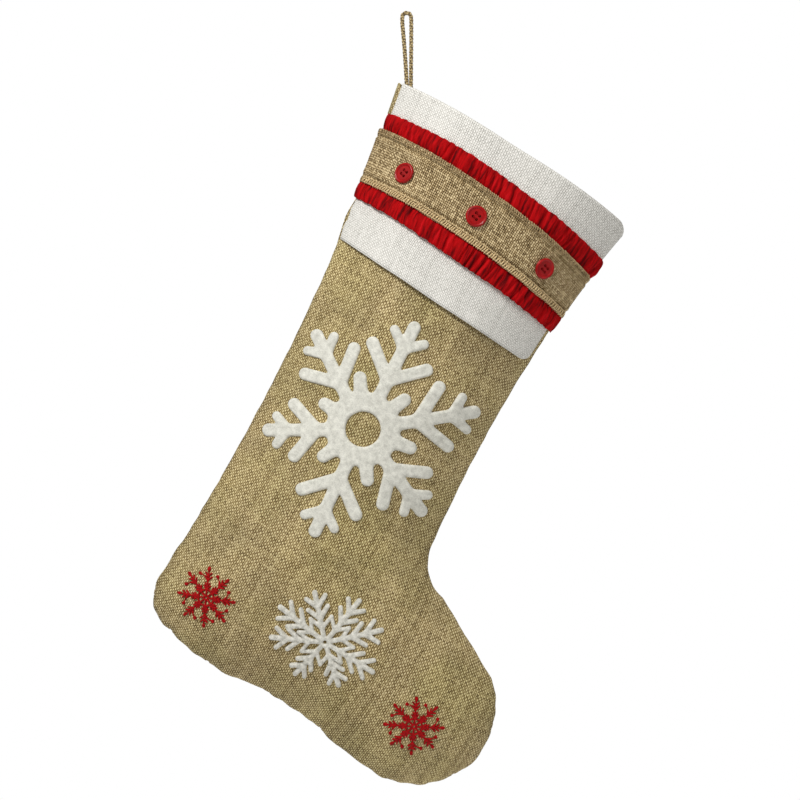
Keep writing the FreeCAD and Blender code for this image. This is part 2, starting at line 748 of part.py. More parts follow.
RED_BARS = [((3.0, 0.0), (20.5, 0.0), 1.6)]
RED_BARS += branch_pair(14.0, 18.0, 3.4, 1.4)
RED_BARS += branch_pair(9.0, 12.5, 2.8, 1.4)
for label, centre, first_arm in (("heel", HEEL_CENTRE, 7.0), ("toe", TOE_CENTRE, 27.0)):
    red_block = snowflake_block(
        f"red_block_{label}", disc=5.0, hole=1.2, bars=RED_BARS, count=8, centre=centre,
        first_arm=first_arm)
    hang(sheet(f"red_cloth_{label}", front_surface, [red_block], "embroidery"),
         f"red_snowflake_{label}", "-dims.felt_lift")

# ---------------------------------------------------------------- cord loop
radius = size("cord_diameter") / 2.0
neck = Vector(size("neck_x"), 0, size("neck_z"))
cord_end = neck.z + size("neck_radius") + size("neck_gap")
eye = size("eye_radius")
left_foot = Vector(neck.x - radius, 0, cord_end)
right_foot = Vector(neck.x + radius, 0, cord_end)


def tangent_point(foot, side):
    """Where a straight leg of the cord meets the circle round the hook."""
    reach_to_foot = math.hypot(foot.x, foot.z)
    towards = math.atan2(foot.z, foot.x)
    angle = towards + side * math.acos(eye / reach_to_foot)
    return Vector(eye * math.cos(angle), 0, eye * math.sin(angle))


left_touch = tangent_point(left_foot, -1)
right_touch = tangent_point(right_foot, 1)
route = [
    Part.LineSegment(left_foot, left_touch).toShape(),
    Part.Arc(left_touch, Vector(0, 0, eye), right_touch).toShape(),
    Part.LineSegment(right_touch, right_foot).toShape(),
]
cord_route = doc.addObject("Part::Feature", "cord_route")
cord_route.Shape = Part.Wire(route)
cord_section = doc.addObject("Part::Circle", "cord_section")
bind(cord_section, Radius="cord_diameter / 2")
cord_section.Placement = Placement(left_foot, Rotation(Vector(0, 0, 1), left_touch - left_foot))
cord = doc.addObject("Part::Sweep", "cord")
cord.Sections = [cord_section]
cord.Spine = (cord_route, ["Edge1", "Edge2", "Edge3"])
cord.Solid = True
cord.Frenet = False
piece(cord, "hanging_loop")

neck_ball = doc.addObject("Part::Sphere", "neck_ball")
bind(neck_ball, Radius="neck_radius")
neck_ball.Placement.Base = neck
piece(neck_ball, "loop_neck")

tails = []
for side in (-1, 1):
    tail = doc.addObject("Part::Cylinder", f"tail_{side + 1}")
    bind(tail, Radius="cord_diameter / 2", Height="tail_length")
    tail.Placement.Base = Vector(neck.x + side * (radius + size("tail_gap")), 0, 0)
    tail.setExpression(
        "Placement.Base.z", "dims.neck_z - dims.neck_radius - dims.neck_gap - dims.tail_length")
    tails.append(tail)
tail_pair = doc.addObject("Part::Compound", "tail_pair")
tail_pair.Links = tails
piece(tail_pair, "loop_tails")


def tack_outline(name, grow):
    """A slot-shaped outline round both cord ends."""
    away = radius + size("tail_gap")
    sketch = doc.addObject("Sketcher::SketchObject", name)
    sketch.addGeometry(stadium((-away, 0), (away, 0), 2.0 * (radius + grow)), False)
    return sketch


tack_blocks = []
tack_gap = size("tack_gap")
for name, grow in (("tack_outer", tack_gap + size("tack_thread")), ("tack_inner", tack_gap)):
    block = doc.addObject("Part::Extrusion", name)
    block.Base = tack_outline(f"{name}_outline", grow)
    block.DirMode = "Custom"
    block.Dir = Vector(0, 0, 1)
    block.Solid = True
    bind(block, LengthFwd="tack_height")
    tack_blocks.append(block)
tack = doc.addObject("Part::Cut", "tack")
tack.Base, tack.Tool = tack_blocks
tack.Placement.Base = Vector(neck.x, 0, neck.z - size("tack_depth"))
piece(tack, "loop_bar_tack")

# ---------------------------------------------------------------- checks and export
doc.recompute()
for item in doc.Objects:
    if "Invalid" in item.State or "Error" in item.State:
        raise RuntimeError(f"{item.Name} ({item.Label}) failed: {item.State}")
for item in pieces:
    if item.Shape.isNull() or not item.Shape.isValid() or not item.Shape.Solids:
        raise RuntimeError(f"{item.Label} has no valid solid")

cord_length = sum(edge.Length for edge in route)
cord_volume = math.pi * radius ** 2 * cord_length
print(f"cord: arc radius {eye:.2f}, length {cord_length:.1f}, "
      f"volume {cord.Shape.Volume:.1f} against {cord_volume:.1f}")
for item in pieces:
    shape = item.Shape
    print(f"{item.Label}: {len(shape.Solids)} solids, {shape.Volume / 1000:.2f} cubic cm")
    shape.exportStep(f"parts/{item.Label}.step")
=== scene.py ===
"""The looks of the hanging stocking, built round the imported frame.

Pattern coordinates: x across the leg, y up the leg, z out from the side seam towards the
front, in millimetres. to_row() turns them into the row frame, in metres.
"""
import math

import bpy
import numpy as np
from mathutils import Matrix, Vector
from mathutils.geometry import delaunay_2d_cdt


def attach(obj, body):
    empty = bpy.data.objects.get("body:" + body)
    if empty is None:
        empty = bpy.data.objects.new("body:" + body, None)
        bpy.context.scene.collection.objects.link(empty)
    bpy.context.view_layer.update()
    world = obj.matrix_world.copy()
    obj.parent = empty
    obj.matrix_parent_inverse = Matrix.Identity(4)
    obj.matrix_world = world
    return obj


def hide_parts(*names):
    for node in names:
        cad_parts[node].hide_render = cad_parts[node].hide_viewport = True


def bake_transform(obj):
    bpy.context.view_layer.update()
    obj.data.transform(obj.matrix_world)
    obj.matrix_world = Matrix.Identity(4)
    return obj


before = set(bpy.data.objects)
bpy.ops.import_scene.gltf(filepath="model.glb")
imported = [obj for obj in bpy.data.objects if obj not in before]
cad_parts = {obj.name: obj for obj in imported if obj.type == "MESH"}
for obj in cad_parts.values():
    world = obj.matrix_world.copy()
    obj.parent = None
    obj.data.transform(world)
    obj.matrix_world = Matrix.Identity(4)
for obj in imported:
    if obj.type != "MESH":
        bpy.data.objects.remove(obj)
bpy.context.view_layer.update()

MM = 0.001
TURN = 2.0 * math.pi
# The row frame's place of the pattern's origin, and how far the leg leans.
CORNER_X, CORNER_Z = -7.2, -50.7
LEAN = math.radians(32.0)
# How far each panel bulges, and how far in from the seam the bulge is full.
FRONT_DEPTH, BACK_DEPTH, REACH = 38.0, 26.0, 77.0

# ---------------------------------------------------------------- camera and stage
CAMERA_DISTANCE = 1.0
VIEW_WIDTH = 0.6016
VIEW_CENTRE = (-0.005, -0.2876)
FLOOR_Z = -1.0
FLOOR_RADIUS = 1.3
AMBIENT = 0.30
LIT_POINT = (-0.01, 0.0, -0.29)
# Place, power in watts and width of each soft light.
LIGHTS = {"key": ((-0.56, -1.02, 0.86), 20.5, 0.42), "fill": ((1.25, -1.0, -0.15), 3.6, 1.0),
          "rim": ((0.5, 1.2, 0.7), 14.0, 0.8)}
WHITE = (1.0, 1.0, 1.0, 1.0)
PAPER = (0.90, 0.90, 0.895, 1.0)


def area_light(name, place, power, width):
    """A soft square light that looks at the stocking."""
    lamp = bpy.data.lights.new(name, "AREA")
    lamp.energy = power
    lamp.size = width
    item = bpy.data.objects.new(name, lamp)
    bpy.context.collection.objects.link(item)
    item.location = place
    item.rotation_mode = "QUATERNION"
    item.rotation_quaternion = (Vector(LIT_POINT) - Vector(place)).to_track_quat("-Z", "Y")


def make_stage():
    """Camera, lights, pale world and floor."""
    scene = bpy.context.scene
    data = bpy.data.cameras.new("camera")
    data.sensor_width = 36.0
    data.lens = data.sensor_width * CAMERA_DISTANCE / VIEW_WIDTH
    camera = bpy.data.objects.new("camera", data)
    scene.collection.objects.link(camera)
    camera.location = (VIEW_CENTRE[0], -CAMERA_DISTANCE, VIEW_CENTRE[1])
    camera.rotation_euler = (math.pi / 2.0, 0.0, 0.0)
    scene.camera = camera
    scene.view_settings.view_transform = "Standard"

    world = bpy.data.worlds.new("studio")
    world.use_nodes = True
    tree = world.node_tree
    soft = tree.nodes["Background"]
    soft.inputs["Strength"].default_value = AMBIENT
    white = tree.nodes.new("ShaderNodeBackground")
    for background in (soft, white):
        background.inputs["Color"].default_value = WHITE
    chooser = tree.nodes.new("ShaderNodeMixShader")
    rays = tree.nodes.new("ShaderNodeLightPath")
    sources = (rays.outputs["Is Camera Ray"], soft.outputs[0], white.outputs[0])
    for source, target in zip(sources, chooser.inputs):
        tree.links.new(source, target)
    tree.links.new(chooser.outputs[0], tree.nodes["World Output"].inputs["Surface"])
    scene.world = world
    for name, (place, power, width) in LIGHTS.items():
        area_light(name, place, power, width)

    bpy.ops.mesh.primitive_circle_add(vertices=96, radius=FLOOR_RADIUS, fill_type="NGON")
    floor = bpy.context.object
    floor.name = "floor"
    floor.location = (0.0, 0.0, FLOOR_Z)
    floor.data.materials.append(Graph("floor_paper").surface(PAPER, Roughness=0.9))


# ---------------------------------------------------------------- node helpers
class Graph:
    """Short forms for building a material's nodes."""

    def __init__(self, name):
        self.material = bpy.data.materials.new(name)
        self.material.use_nodes = True
        self.tree = self.material.node_tree
        self.shader = self.tree.nodes["Principled BSDF"]

    def node(self, kind, sources=(), **settings):
        """A new node's outputs; its inputs are given by name or number."""
        made = self.tree.nodes.new("ShaderNode" + kind)
        for key, value in settings.items():
            setattr(made, key, value)
        for key, source in dict(sources).items():
            self.link(source, made.inputs[key])
        return made.outputs

    def link(self, source, target):
        if isinstance(source, (int, float, tuple)):
            target.default_value = source
        else:
            self.tree.links.new(source, target)

    def math(self, operation, *sources):
        return self.node("Math", enumerate(sources), operation=operation)[0]

    def times(self, first, second):
        return self.math("MULTIPLY", first, second)

    def madd(self, first, second, third):
        return self.math("MULTIPLY_ADD", first, second, third)

    def around(self, value, middle, size, base):
        """The base, raised or lowered by how far the value is from its middle."""
        return self.madd(self.math("SUBTRACT", value, middle), size, base)

    def clamp(self, value, low, high):
        return self.math("MINIMUM", self.math("MAXIMUM", value, low), high)

    def noise(self, vector, scale, detail=2.0, roughness=0.5):
        sources = {"Vector": vector, "Scale": scale, "Detail": detail, "Roughness": roughness}
        return self.node("TexNoise", sources)["Fac"]

    def random(self, vector):
        return self.node("TexWhiteNoise", {"Vector": vector}, noise_dimensions="3D")["Value"]

    def combine(self, x, y, z=0.0):
        return self.node("CombineXYZ", enumerate((x, y, z)))[0]

    def ramp(self, factor, stops):
        made = self.tree.nodes.new("ShaderNodeValToRGB")
        points = made.color_ramp.elements
        while len(points) < len(stops):
            points.new(0.5)
        for point, (place, colour) in zip(points, stops):
            point.position = place
            point.color = (*linear(*colour), 1.0)
        self.link(factor, made.inputs["Fac"])
        return made.outputs["Color"]

    def mix(self, factor, first, second, blend="MIX"):
        first, second = [(*c, 1.0) if isinstance(c, tuple) else c for c in (first, second)]
        sources = {"Factor": factor, "A": first, "B": second}
        return self.node("Mix", sources, data_type="RGBA", blend_type=blend)["Result"]

    def bump(self, height, distance, strength=1.0):
        sources = {"Strength": strength, "Distance": distance * MM, "Height": height}
        return self.node("Bump", sources)["Normal"]

    def surface(self, colour, normal=None, **fixed):
        self.link(colour, self.shader.inputs["Base Color"])
        if normal is not None:
            self.link(normal, self.shader.inputs["Normal"])
        for name, value in fixed.items():
            self.shader.inputs[name.replace("_", " ")].default_value = value
        return self.material


def linear(red, green, blue):
    """A colour given in 0 to 255 steps, as the shader wants it."""
    def one(value):
        share = value / 255.0
        return share / 12.92 if share <= 0.04045 else ((share + 0.055) / 1.055) ** 2.4
    return (one(red), one(green), one(blue))


def pattern_place(graph, from_uv):
    """Pattern coordinates in millimetres: from the cloth's own UVs, or for a CAD node from its place."""
    place = graph.node("TexCoord")["UV" if from_uv else "Object"]
    if not from_uv:
        place = graph.node("Mapping", {"Vector": place, "Rotation": (0.0, -LEAN, 0.0)})[0]
    split = graph.node("SeparateXYZ", {0: place})
    return [graph.times(split[axis], 1.0 / MM) for axis in ("XY" if from_uv else "XZ")]


def woven(name, pitch, thread, stops, relief, mottle, spread=0.3, floats=0.0, tint=None, shade_patch_seed=0.0,
          from_uv=True, **fixed):
    """Plain weave: threads pass over and under each other, and each has its own shade.

    pitch is the thread spacing in mm, thread the thread's width as a share of it, stops the
    colour ramp from the gaps to the thread tops, relief the height in mm, mottle and spread how
    far the shade wanders over the cloth and from thread to thread, floats how much brighter
    the threads up the leg are than those across it, and shade_patch_seed picks the pattern of
    patches. The patches are random tone, but on the burlap their seed is set so the foot comes
    out darker and the ankle lighter, as painted shade and painted light.
    """
    graph = Graph(name)
    across_cloth, along_cloth = pattern_place(graph, from_uv)
    place = graph.combine(across_cloth, along_cloth)
    crossed = graph.combine(along_cloth, across_cloth, 9.0)
    wander_scale, wander = 0.13, 0.7
    u = graph.madd(graph.noise(place, wander_scale), wander, graph.math("DIVIDE", across_cloth, pitch))
    v = graph.madd(graph.noise(crossed, wander_scale), wander, graph.math("DIVIDE", along_cloth, pitch))
    column, row = graph.math("FLOOR", u), graph.math("FLOOR", v)
    in_column = graph.math("SUBTRACT", graph.math("SUBTRACT", u, column), 0.5)
    in_row = graph.math("SUBTRACT", graph.math("SUBTRACT", v, row), 0.5)
    parity = graph.math("MODULO", graph.math("ABSOLUTE", graph.math("ADD", column, row)), 2.0)
    sign = graph.madd(parity, 2.0, -1.0)
    warp_shade = graph.random(graph.combine(column, 3.0, 1.0))
    weft_shade = graph.random(graph.combine(7.0, row, 2.0))

    def strand(offset, run, direction, shade):
        """Height of one set of threads, negative in the gaps beside them; thick and thin ones differ."""
        half = graph.madd(shade, 0.16 * thread, 0.42 * thread)
        share = graph.math("DIVIDE", offset, half)
        round_top = graph.math("SUBTRACT", 1.0, graph.times(share, share))
        wave = graph.times(graph.math("COSINE", graph.times(run, math.pi)), sign)
        return graph.madd(graph.times(wave, direction), 0.5, round_top)

    warp = strand(in_column, in_row, 1.0, warp_shade)
    weft = strand(in_row, in_column, -1.0, weft_shade)
    height = graph.clamp(graph.madd(graph.math("MAXIMUM", warp, weft), 0.55, 0.1), 0.0, 1.0)
    warp_shows = graph.math("GREATER_THAN", warp, weft)
    shade = graph.mix(warp_shows, weft_shade, warp_shade)
    fine, coarse, fibre_scale = 3.2, 0.35, 1.3
    warp_fibre, weft_fibre = [
        graph.noise(graph.combine(graph.times(across_cloth, x), graph.times(along_cloth, y)), fibre_scale)
        for x, y in ((fine, coarse), (coarse, fine))]
    fibre = graph.mix(warp_shows, weft_fibre, warp_fibre)
    speck = graph.random(graph.combine(column, row, 5.0))
    # The threads' height also sets the tone, so the gaps between them come out darker: painted shade.
    tone = height
    for value, size in ((shade, spread * 0.7), (fibre, spread), (speck, spread * 1.6), (warp_shows, floats)):
        tone = graph.around(value, 0.5, size, tone)
    colour = graph.ramp(tone, stops)
    # Broad lighter and darker patches of random tone; with the burlap's seed they also put painted shade on
    # the foot and painted light on the ankle.
    tone_and_shade_patches = graph.noise(graph.combine(across_cloth, along_cloth, shade_patch_seed), 0.022, 4.0, 0.62)
    lightness = graph.around(tone_and_shade_patches, 0.5, mottle, 1.0)
    colour = graph.mix(1.0, colour, graph.combine(lightness, lightness, lightness), "MULTIPLY")
    if tint is not None:
        drift = graph.noise(graph.combine(across_cloth, along_cloth, 40.0), 0.016, 3.0, 0.6)
        share = graph.clamp(graph.times(graph.math("SUBTRACT", drift, 0.42), 2.4), 0.0, 0.6)
        colour = graph.mix(share, colour, graph.mix(1.0, colour, tint, "MULTIPLY"))
    return graph.surface(colour, graph.bump(graph.madd(fibre, 0.25, height), relief), **fixed)


def fuzzy(name, dark, light, grain, relief, from_uv=True, **fixed):
    """Felt or brushed cloth: matted fibres with soft dimples."""
    graph = Graph(name)
    across, along = pattern_place(graph, from_uv)
    place = graph.combine(across, along)
    fine = graph.noise(place, grain, 5.0, 0.7)
    broad = graph.noise(place, grain * 0.22, 3.0, 0.55)
    colour = graph.ramp(graph.around(broad, 0.5, 0.9, fine), [(0.25, dark), (0.7, light)])
    return graph.surface(colour, graph.bump(graph.madd(broad, 1.6, fine), relief), **fixed)


def gathered(name, stops, relief, **fixed):
    """Brushed cloth drawn up into narrow creases that run down the strip."""
    graph = Graph(name)
    across, along = pattern_place(graph, True)
    place = graph.combine(across, along)
    run = graph.madd(graph.noise(place, 0.07), 5.0, across)
    creases_and_shade = graph.noise(graph.combine(run, graph.times(along, 0.12)), 0.36, 3.0, 0.6)
    pile = graph.noise(place, 1.4, 5.0, 0.7)
    # The colour follows the creases: painted shade in their valleys and painted highlight on their ridges.
    colour = graph.ramp(graph.around(pile, 0.5, 0.22, creases_and_shade), stops)
    return graph.surface(colour, graph.bump(graph.madd(pile, 0.12, creases_and_shade), relief), **fixed)


def thread_material(name, dark, light, twist, relief=0.12, **fixed):
    """Spun thread: slanting plies along the strand, from its own round-and-along UVs."""
    graph = Graph(name)
    across, along = pattern_place(graph, True)
    slant = graph.madd(along, twist, graph.times(across, TURN))
    ply = graph.madd(graph.math("SINE", slant), 0.5, 0.5)
    hair = graph.noise(graph.combine(graph.times(across, 6.0), along), 1.4, 4.0, 0.7)
    # The tone follows the plies, so the colour darkens in the grooves between them as painted shade.
    tone = graph.around(hair, 0.5, 0.9, ply)
    return graph.surface(graph.ramp(tone, [(0.1, dark), (0.75, light)]), graph.bump(tone, relief), **fixed)


def button_material():
    """Glossy dyed plastic with faint swirls and fine surface wear."""
    graph = Graph("button_plastic")
    place = graph.node("TexCoord")["Object"]
    colour = graph.ramp(graph.noise(place, 260.0, 4.0, 0.6), [(0.3, (138, 2, 5)), (0.7, (176, 8, 10))])
    worn = graph.bump(graph.noise(place, 900.0, 3.0, 0.7), 0.02, 0.5)
    return graph.surface(colour, worn, Roughness=0.42, Specular_IOR_Level=0.22, Coat_Weight=0.12,
                         Coat_Roughness=0.12)


# Colour ramps from the gaps to the tops of the threads, in 0 to 255 steps; the darker gaps are painted shade
# between the threads.
BURLAP_STOPS = [(0.04, (42, 27, 8)), (0.30, (106, 83, 44)),
                (0.62, (166, 143, 94)), (0.98, (228, 209, 160))]
BAND_STOPS = [(0.06, (16, 8, 1)), (0.30, (74, 53, 25)),
              (0.60, (158, 131, 86)), (0.98, (236, 214, 168))]
LINEN_STOPS = [(0.04, (128, 125, 116)), (0.38, (206, 203, 194)), (0.85, (246, 243, 235))]
LINING_STOPS = [(0.05, (120, 100, 74)), (0.5, (196, 176, 140)), (0.9, (222, 205, 170))]
# The ruffle's ramp runs from painted shade in the creases up to painted highlight on the ridges.
RUFFLE_SHADE_STOPS = [(0.36, (84, 0, 3)), (0.46, (150, 0, 4)),
                (0.58, (182, 3, 8)), (0.70, (200, 16, 26))]
OLIVE = (0.90, 0.95, 0.78)


def make_materials():
    """Every finish of the stocking, by name."""
    burlap = dict(Roughness=0.8, Specular_IOR_Level=0.3)
    return {
        # The patch seed 180 darkens the foot and lightens the ankle: painted shade and painted light on top
        # of random tone.
        "burlap": woven("burlap_cloth", 1.48, 0.88, BURLAP_STOPS, 0.38, 0.85, spread=0.20, floats=0.40,
                        tint=OLIVE, shade_patch_seed=180.0, **burlap),
        "band": woven("band_burlap", 1.55, 0.80, BAND_STOPS, 0.42, 0.34, spread=0.22, floats=0.14, **burlap),
        "linen": woven("white_linen_cloth", 1.5, 0.92, LINEN_STOPS, 0.40, 0.06, spread=0.12, floats=0.40,
                       Roughness=0.85, Specular_IOR_Level=0.3),
        "lining": woven("lining_weave", 0.7, 0.98, LINING_STOPS, 0.08, 0.12, Roughness=0.8),
        "burlap_inside": woven("burlap_allowance", 1.25, 0.98, BURLAP_STOPS, 0.3, 0.3, from_uv=False,
                               Roughness=0.8),
        "red": gathered("red_velour_shaded_creases", RUFFLE_SHADE_STOPS, 0.9, Roughness=0.8, Specular_IOR_Level=0.1),
        "felt": fuzzy("white_felt_cloth", (196, 194, 182), (238, 236, 224), 1.1, 0.22,
                      Roughness=0.95, Specular_IOR_Level=0.2, Sheen_Weight=0.1, Sheen_Roughness=0.6),
        "puffy": fuzzy("white_puffy_felt", (176, 173, 160), (246, 243, 232), 1.6, 0.40,
                       Roughness=0.95, Specular_IOR_Level=0.15),
        "red_thread": fuzzy("red_embroidery", (92, 1, 5), (198, 6, 12), 2.6, 0.25,
                            Roughness=0.65, Specular_IOR_Level=0.15),
        "red_sewing": fuzzy("red_sewing_thread", (104, 0, 4), (150, 4, 9), 3.0, 0.1,
                            from_uv=False, Roughness=0.7, Specular_IOR_Level=0.1),
        "cream_thread": thread_material("cream_thread", (180, 148, 98), (244, 218, 168), 5.0,
                                        Roughness=0.7),
        "tan_thread": thread_material("tan_thread", (136, 106, 66), (204, 178, 132), 5.0,
                                      Roughness=0.75),
        "cream_plain": fuzzy("cream_sewing_thread", (150, 128, 92), (206, 184, 142), 3.0, 0.1,
                             from_uv=False, Roughness=0.75),
        "jute": thread_material("jute_fibre", (84, 64, 34), (196, 174, 124), 2.6, 0.2,
                                Roughness=0.85, Sheen_Weight=0.1),
        "button": button_material(),
    }


# ---------------------------------------------------------------- pattern lines
# Two points are a straight line; three are an arc through its start, middle and end.
SIDE_SEAM = [
    ((0.7, 2), (33, -180), (45, -365)),
    ((45, -365), (44.5, -404)),
    ((44.5, -404), (52, -428), (72, -438)),
    ((72, -438), (108, -443.5), (148, -439.5)),
    ((148, -439.5), (178, -438.5), (206, -441)),
    ((206, -441), (236, -446), (266, -447)),
    ((266, -447), (302, -429), (319, -394)),
    ((319, -394), (314, -364), (297, -341)),
    ((297, -341), (234, -309)),
    ((234, -309), (214, -298), (205.5, -279)),
    ((205.5, -279), (195.6, -170), (195.4, -90)),
    ((195.4, -90), (197.9, -48.4), (202.6, -7)),
]
RUFFLE_TOP = ((-8, -21.5), (95, -23.2), (214, -32.0))
BAND_TOP = ((-8, -34.5), (100, -37.8), (214, -48.5))
BAND_BOTTOM = ((-8, -76.2), (100, -77.0), (214, -84.9))
RUFFLE_BOTTOM = ((-8, -86.8), (100, -92.8), (214, -97.9))
CUFF_EDGE = ((-8, -119.0), (107, -126.4), (214, -125.5))
# The mouth: its height at the loop corner, its fall to the toe side, its sag, and its rounded corner.
MOUTH_WIDTH, MOUTH_LEFT, MOUTH_FALL, MOUTH_SAG = 195.5, 2.0, 1.8, 1.6
CORNER_START, CORNER_WIDTH, CORNER_DROP = 194.0, 8.6, 7.0


def circle_through(run):
    """Centre and radius of the circle through three points."""
    (ax, ay), (bx, by), (cx, cy) = run
    twice = 2.0 * (ax * (by - cy) + bx * (cy - ay) + cx * (ay - by))
    a2, b2, c2 = ax * ax + ay * ay, bx * bx + by * by, cx * cx + cy * cy
    centre_x = (a2 * (by - cy) + b2 * (cy - ay) + c2 * (ay - by)) / twice
    centre_y = (a2 * (cx - bx) + b2 * (ax - cx) + c2 * (bx - ax)) / twice
    return centre_x, centre_y, math.hypot(ax - centre_x, ay - centre_y)


def line_height(run, x):
    """The y of a cross line at x."""
    centre_x, centre_y, radius = circle_through(run)
    side = 1.0 if run[1][1] > centre_y else -1.0
    return centre_y + side * np.sqrt(radius ** 2 - (x - centre_x) ** 2)


def mouth_height(x):
    """The y of the mouth edge at x: it sags a little, and is rounded off at the toe side."""
    sag = MOUTH_SAG * np.sin(np.clip(x / MOUTH_WIDTH, 0.0, 1.0) * math.pi)
    round_off = np.clip((x - CORNER_START) / CORNER_WIDTH, 0.0, 1.0)
    straight = MOUTH_LEFT - MOUTH_FALL / MOUTH_WIDTH * x - sag
    return straight - CORNER_DROP * (1.0 - np.sqrt(1.0 - round_off ** 2))


def run_lengths(points):
    """Distance travelled along a line of points, at each of them."""
    return np.concatenate([[0.0], np.cumsum(np.linalg.norm(np.diff(points, axis=0), axis=1))])


def headings(points):
    """Direction of a line of points, at each of them."""
    way = np.gradient(points, axis=0)
    return way / np.linalg.norm(way, axis=1)[:, None]


def run_points(run, step):
    """Points along one run of the pattern."""
    if len(run) == 2:
        count = max(2, round(math.dist(*run) / step) + 1)
        share = np.linspace(0.0, 1.0, count)[:, None]
        return np.array(run[0]) + (np.array(run[1]) - np.array(run[0])) * share
    centre_x, centre_y, radius = circle_through(run)
    turns = [math.atan2(y - centre_y, x - centre_x) for x, y in run]
    total = (turns[2] - turns[0]) % TURN
    if (turns[1] - turns[0]) % TURN > total:
        total -= TURN
    count = max(3, round(abs(total) * radius / step) + 1)
    angle = turns[0] + total * np.linspace(0.0, 1.0, count)
    return np.stack([centre_x + radius * np.cos(angle), centre_y + radius * np.sin(angle)], 1)


def seam_line(step):
    """The side seam from the loop corner round the foot to the toe-side corner."""
    stretches = [run_points(run, step) for run in SIDE_SEAM]
    return np.concatenate([stretches[0]] + [stretch[1:] for stretch in stretches[1:]])


SEAM_STEP, RISE_STEPS = 2.0, 40
SEAM = seam_line(SEAM_STEP)


def risen_seam():
    """The side seam carried straight on above the mouth."""
    steps = np.arange(1, RISE_STEPS + 1)[:, None] * SEAM_STEP
    start, end = SEAM[0] - SEAM[2], SEAM[-1] - SEAM[-3]
    before = SEAM[0] + start / np.linalg.norm(start) * steps[::-1]
    after = SEAM[-1] + end / np.linalg.norm(end) * steps
    return np.concatenate([before, SEAM, after])


RISEN = risen_seam()
# Within this distance of the seam the plain distance is used; the batch limits memory.
NEAR_SEAM, BATCH = 6.0, 8192


def inside_seam(x, y):
    """Which points lie between the two sides of the seam."""
    inside = np.zeros(x.shape, bool)
    for (ax, ay), (bx, by) in zip(RISEN, np.roll(RISEN, -1, axis=0)):
        if ay == by:
            continue
        inside ^= ((ay > y) != (by > y)) & (x < (bx - ax) * (y - ay) / (by - ay) + ax)
    return inside


def seam_distance(x, y):
    """Smooth distance to the side seam, negative outside, and the nearest seam point's number."""
    x, y = np.asarray(x, float), np.asarray(y, float)
    flat_x, flat_y = x.ravel(), y.ravel()
    distance, nearest = np.empty(flat_x.size), np.empty(flat_x.size, int)
    for first in range(0, flat_x.size, BATCH):
        part = slice(first, first + BATCH)
        squared = (flat_x[part, None] - RISEN[:, 0]) ** 2 + (flat_y[part, None] - RISEN[:, 1]) ** 2
        nearest[part] = squared.argmin(1)
        closest = np.sqrt(squared.min(1))
        total = (2.0 / np.maximum(squared, 1.0) ** 2).sum(1)
        smooth = (2.0 * total / math.pi) ** (-1.0 / 3.0)
        distance[part] = np.where(closest < NEAR_SEAM, closest, smooth)
    inside = inside_seam(flat_x, flat_y)
    return np.where(inside, distance, -distance).reshape(x.shape), nearest.reshape(x.shape)


def crown(distance, depth):
    """Height of a panel's bulge at a distance from its edge."""
    share = np.minimum(distance / REACH, 1.0)
    outside = 2.0 * share / (1.0 - np.minimum(share, 0.0))
    return depth * np.where(share < 0.0, outside, share * (2.0 - share))


# ---------------------------------------------------------------- the cloth's relief
GRID = 2.0
GRID_X = np.arange(-40.0, 352.0, GRID)
GRID_Y = np.arange(-486.0, 60.0, GRID)


class Field:
    """Values on the pattern grid, read anywhere between its points."""

    def __init__(self, values):
        self.values = values

    def __call__(self, x, y):
        column = np.clip((np.asarray(x, float) - GRID_X[0]) / GRID, 0, len(GRID_X) - 1.001)
        row = np.clip((np.asarray(y, float) - GRID_Y[0]) / GRID, 0, len(GRID_Y) - 1.001)
        i, j = column.astype(int), row.astype(int)
        s, t = column - i, row - j
        low = self.values[i, j] * (1 - t) + self.values[i, j + 1] * t
        high = self.values[i + 1, j] * (1 - t) + self.values[i + 1, j + 1] * t
        return low * (1 - s) + high * s

    def slope(self, x, y, probe=1.5):
        across = (self(x + probe, y) - self(x - probe, y)) / (2.0 * probe)
        along = (self(x, y + probe) - self(x, y - probe)) / (2.0 * probe)
        return across, along


grid_x, grid_y = np.meshgrid(GRID_X, GRID_Y, indexing="ij")
grid_distance, grid_nearest = seam_distance(grid_x, grid_y)
DISTANCE = Field(grid_distance)


def waves(x, y, seed, count, shortest, longest):
    """Soft irregular ripples with wavelengths between two lengths in mm, about -1 to 1."""
    random = np.random.default_rng(seed)
    total = np.zeros(np.shape(x))
    for _ in range(count):
        length = random.uniform(shortest, longest)
        angle, phase = random.uniform(0, math.pi), random.uniform(0, TURN)
        total += np.sin((x * math.cos(angle) + y * math.sin(angle)) * TURN / length + phase)
    return total / math.sqrt(count)


def crease(x, y, start, end, width):
    """A long soft fold between two points that fades out towards its ends."""
    start, end = np.array(start, float), np.array(end, float)
    way = end - start
    length = np.linalg.norm(way)
    way /= length
    along = ((x - start[0]) * way[0] + (y - start[1]) * way[1]) / length
    off = -(x - start[0]) * way[1] + (y - start[1]) * way[0]
    fade = np.clip(np.sin(np.clip(along, 0.0, 1.0) * math.pi), 0.0, 1.0)
    return fade * (1.0 - 0.6 * (off / width) ** 2) * np.exp(-(off / width) ** 2)


# Start, end, width and height of each soft fold; minus is a hollow.
ANKLE_FOLDS = [((208, -292), (120, -330), 9.0, 1.5), ((212, -304), (150, -372), 11.0, -1.3),
               ((222, -318), (205, -395), 9.0, 1.1), ((60, -300), (150, -345), 14.0, -1.0),
               ((196, -250), (110, -262), 12.0, 0.8), ((240, -330), (262, -400), 10.0, -0.8),
               ((70, -360), (130, -410), 12.0, 0.8), ((42, -210), (120, -190), 14.0, 0.5)]
BACK_SHARE = -0.8


def below(y, top, fade):
    """0 above a height, rising to 1 at fade millimetres below it."""
    return np.clip((top - y) / fade, 0.0, 1.0)


SOLE_TOP, SOLE_FADE = -330.0, 60.0
# Height, count, shortest and longest wavelength of the broad dents and of the small ones.
DENTS = ((0.85, 7, 48.0, 120.0), (0.22, 7, 16.0, 34.0))


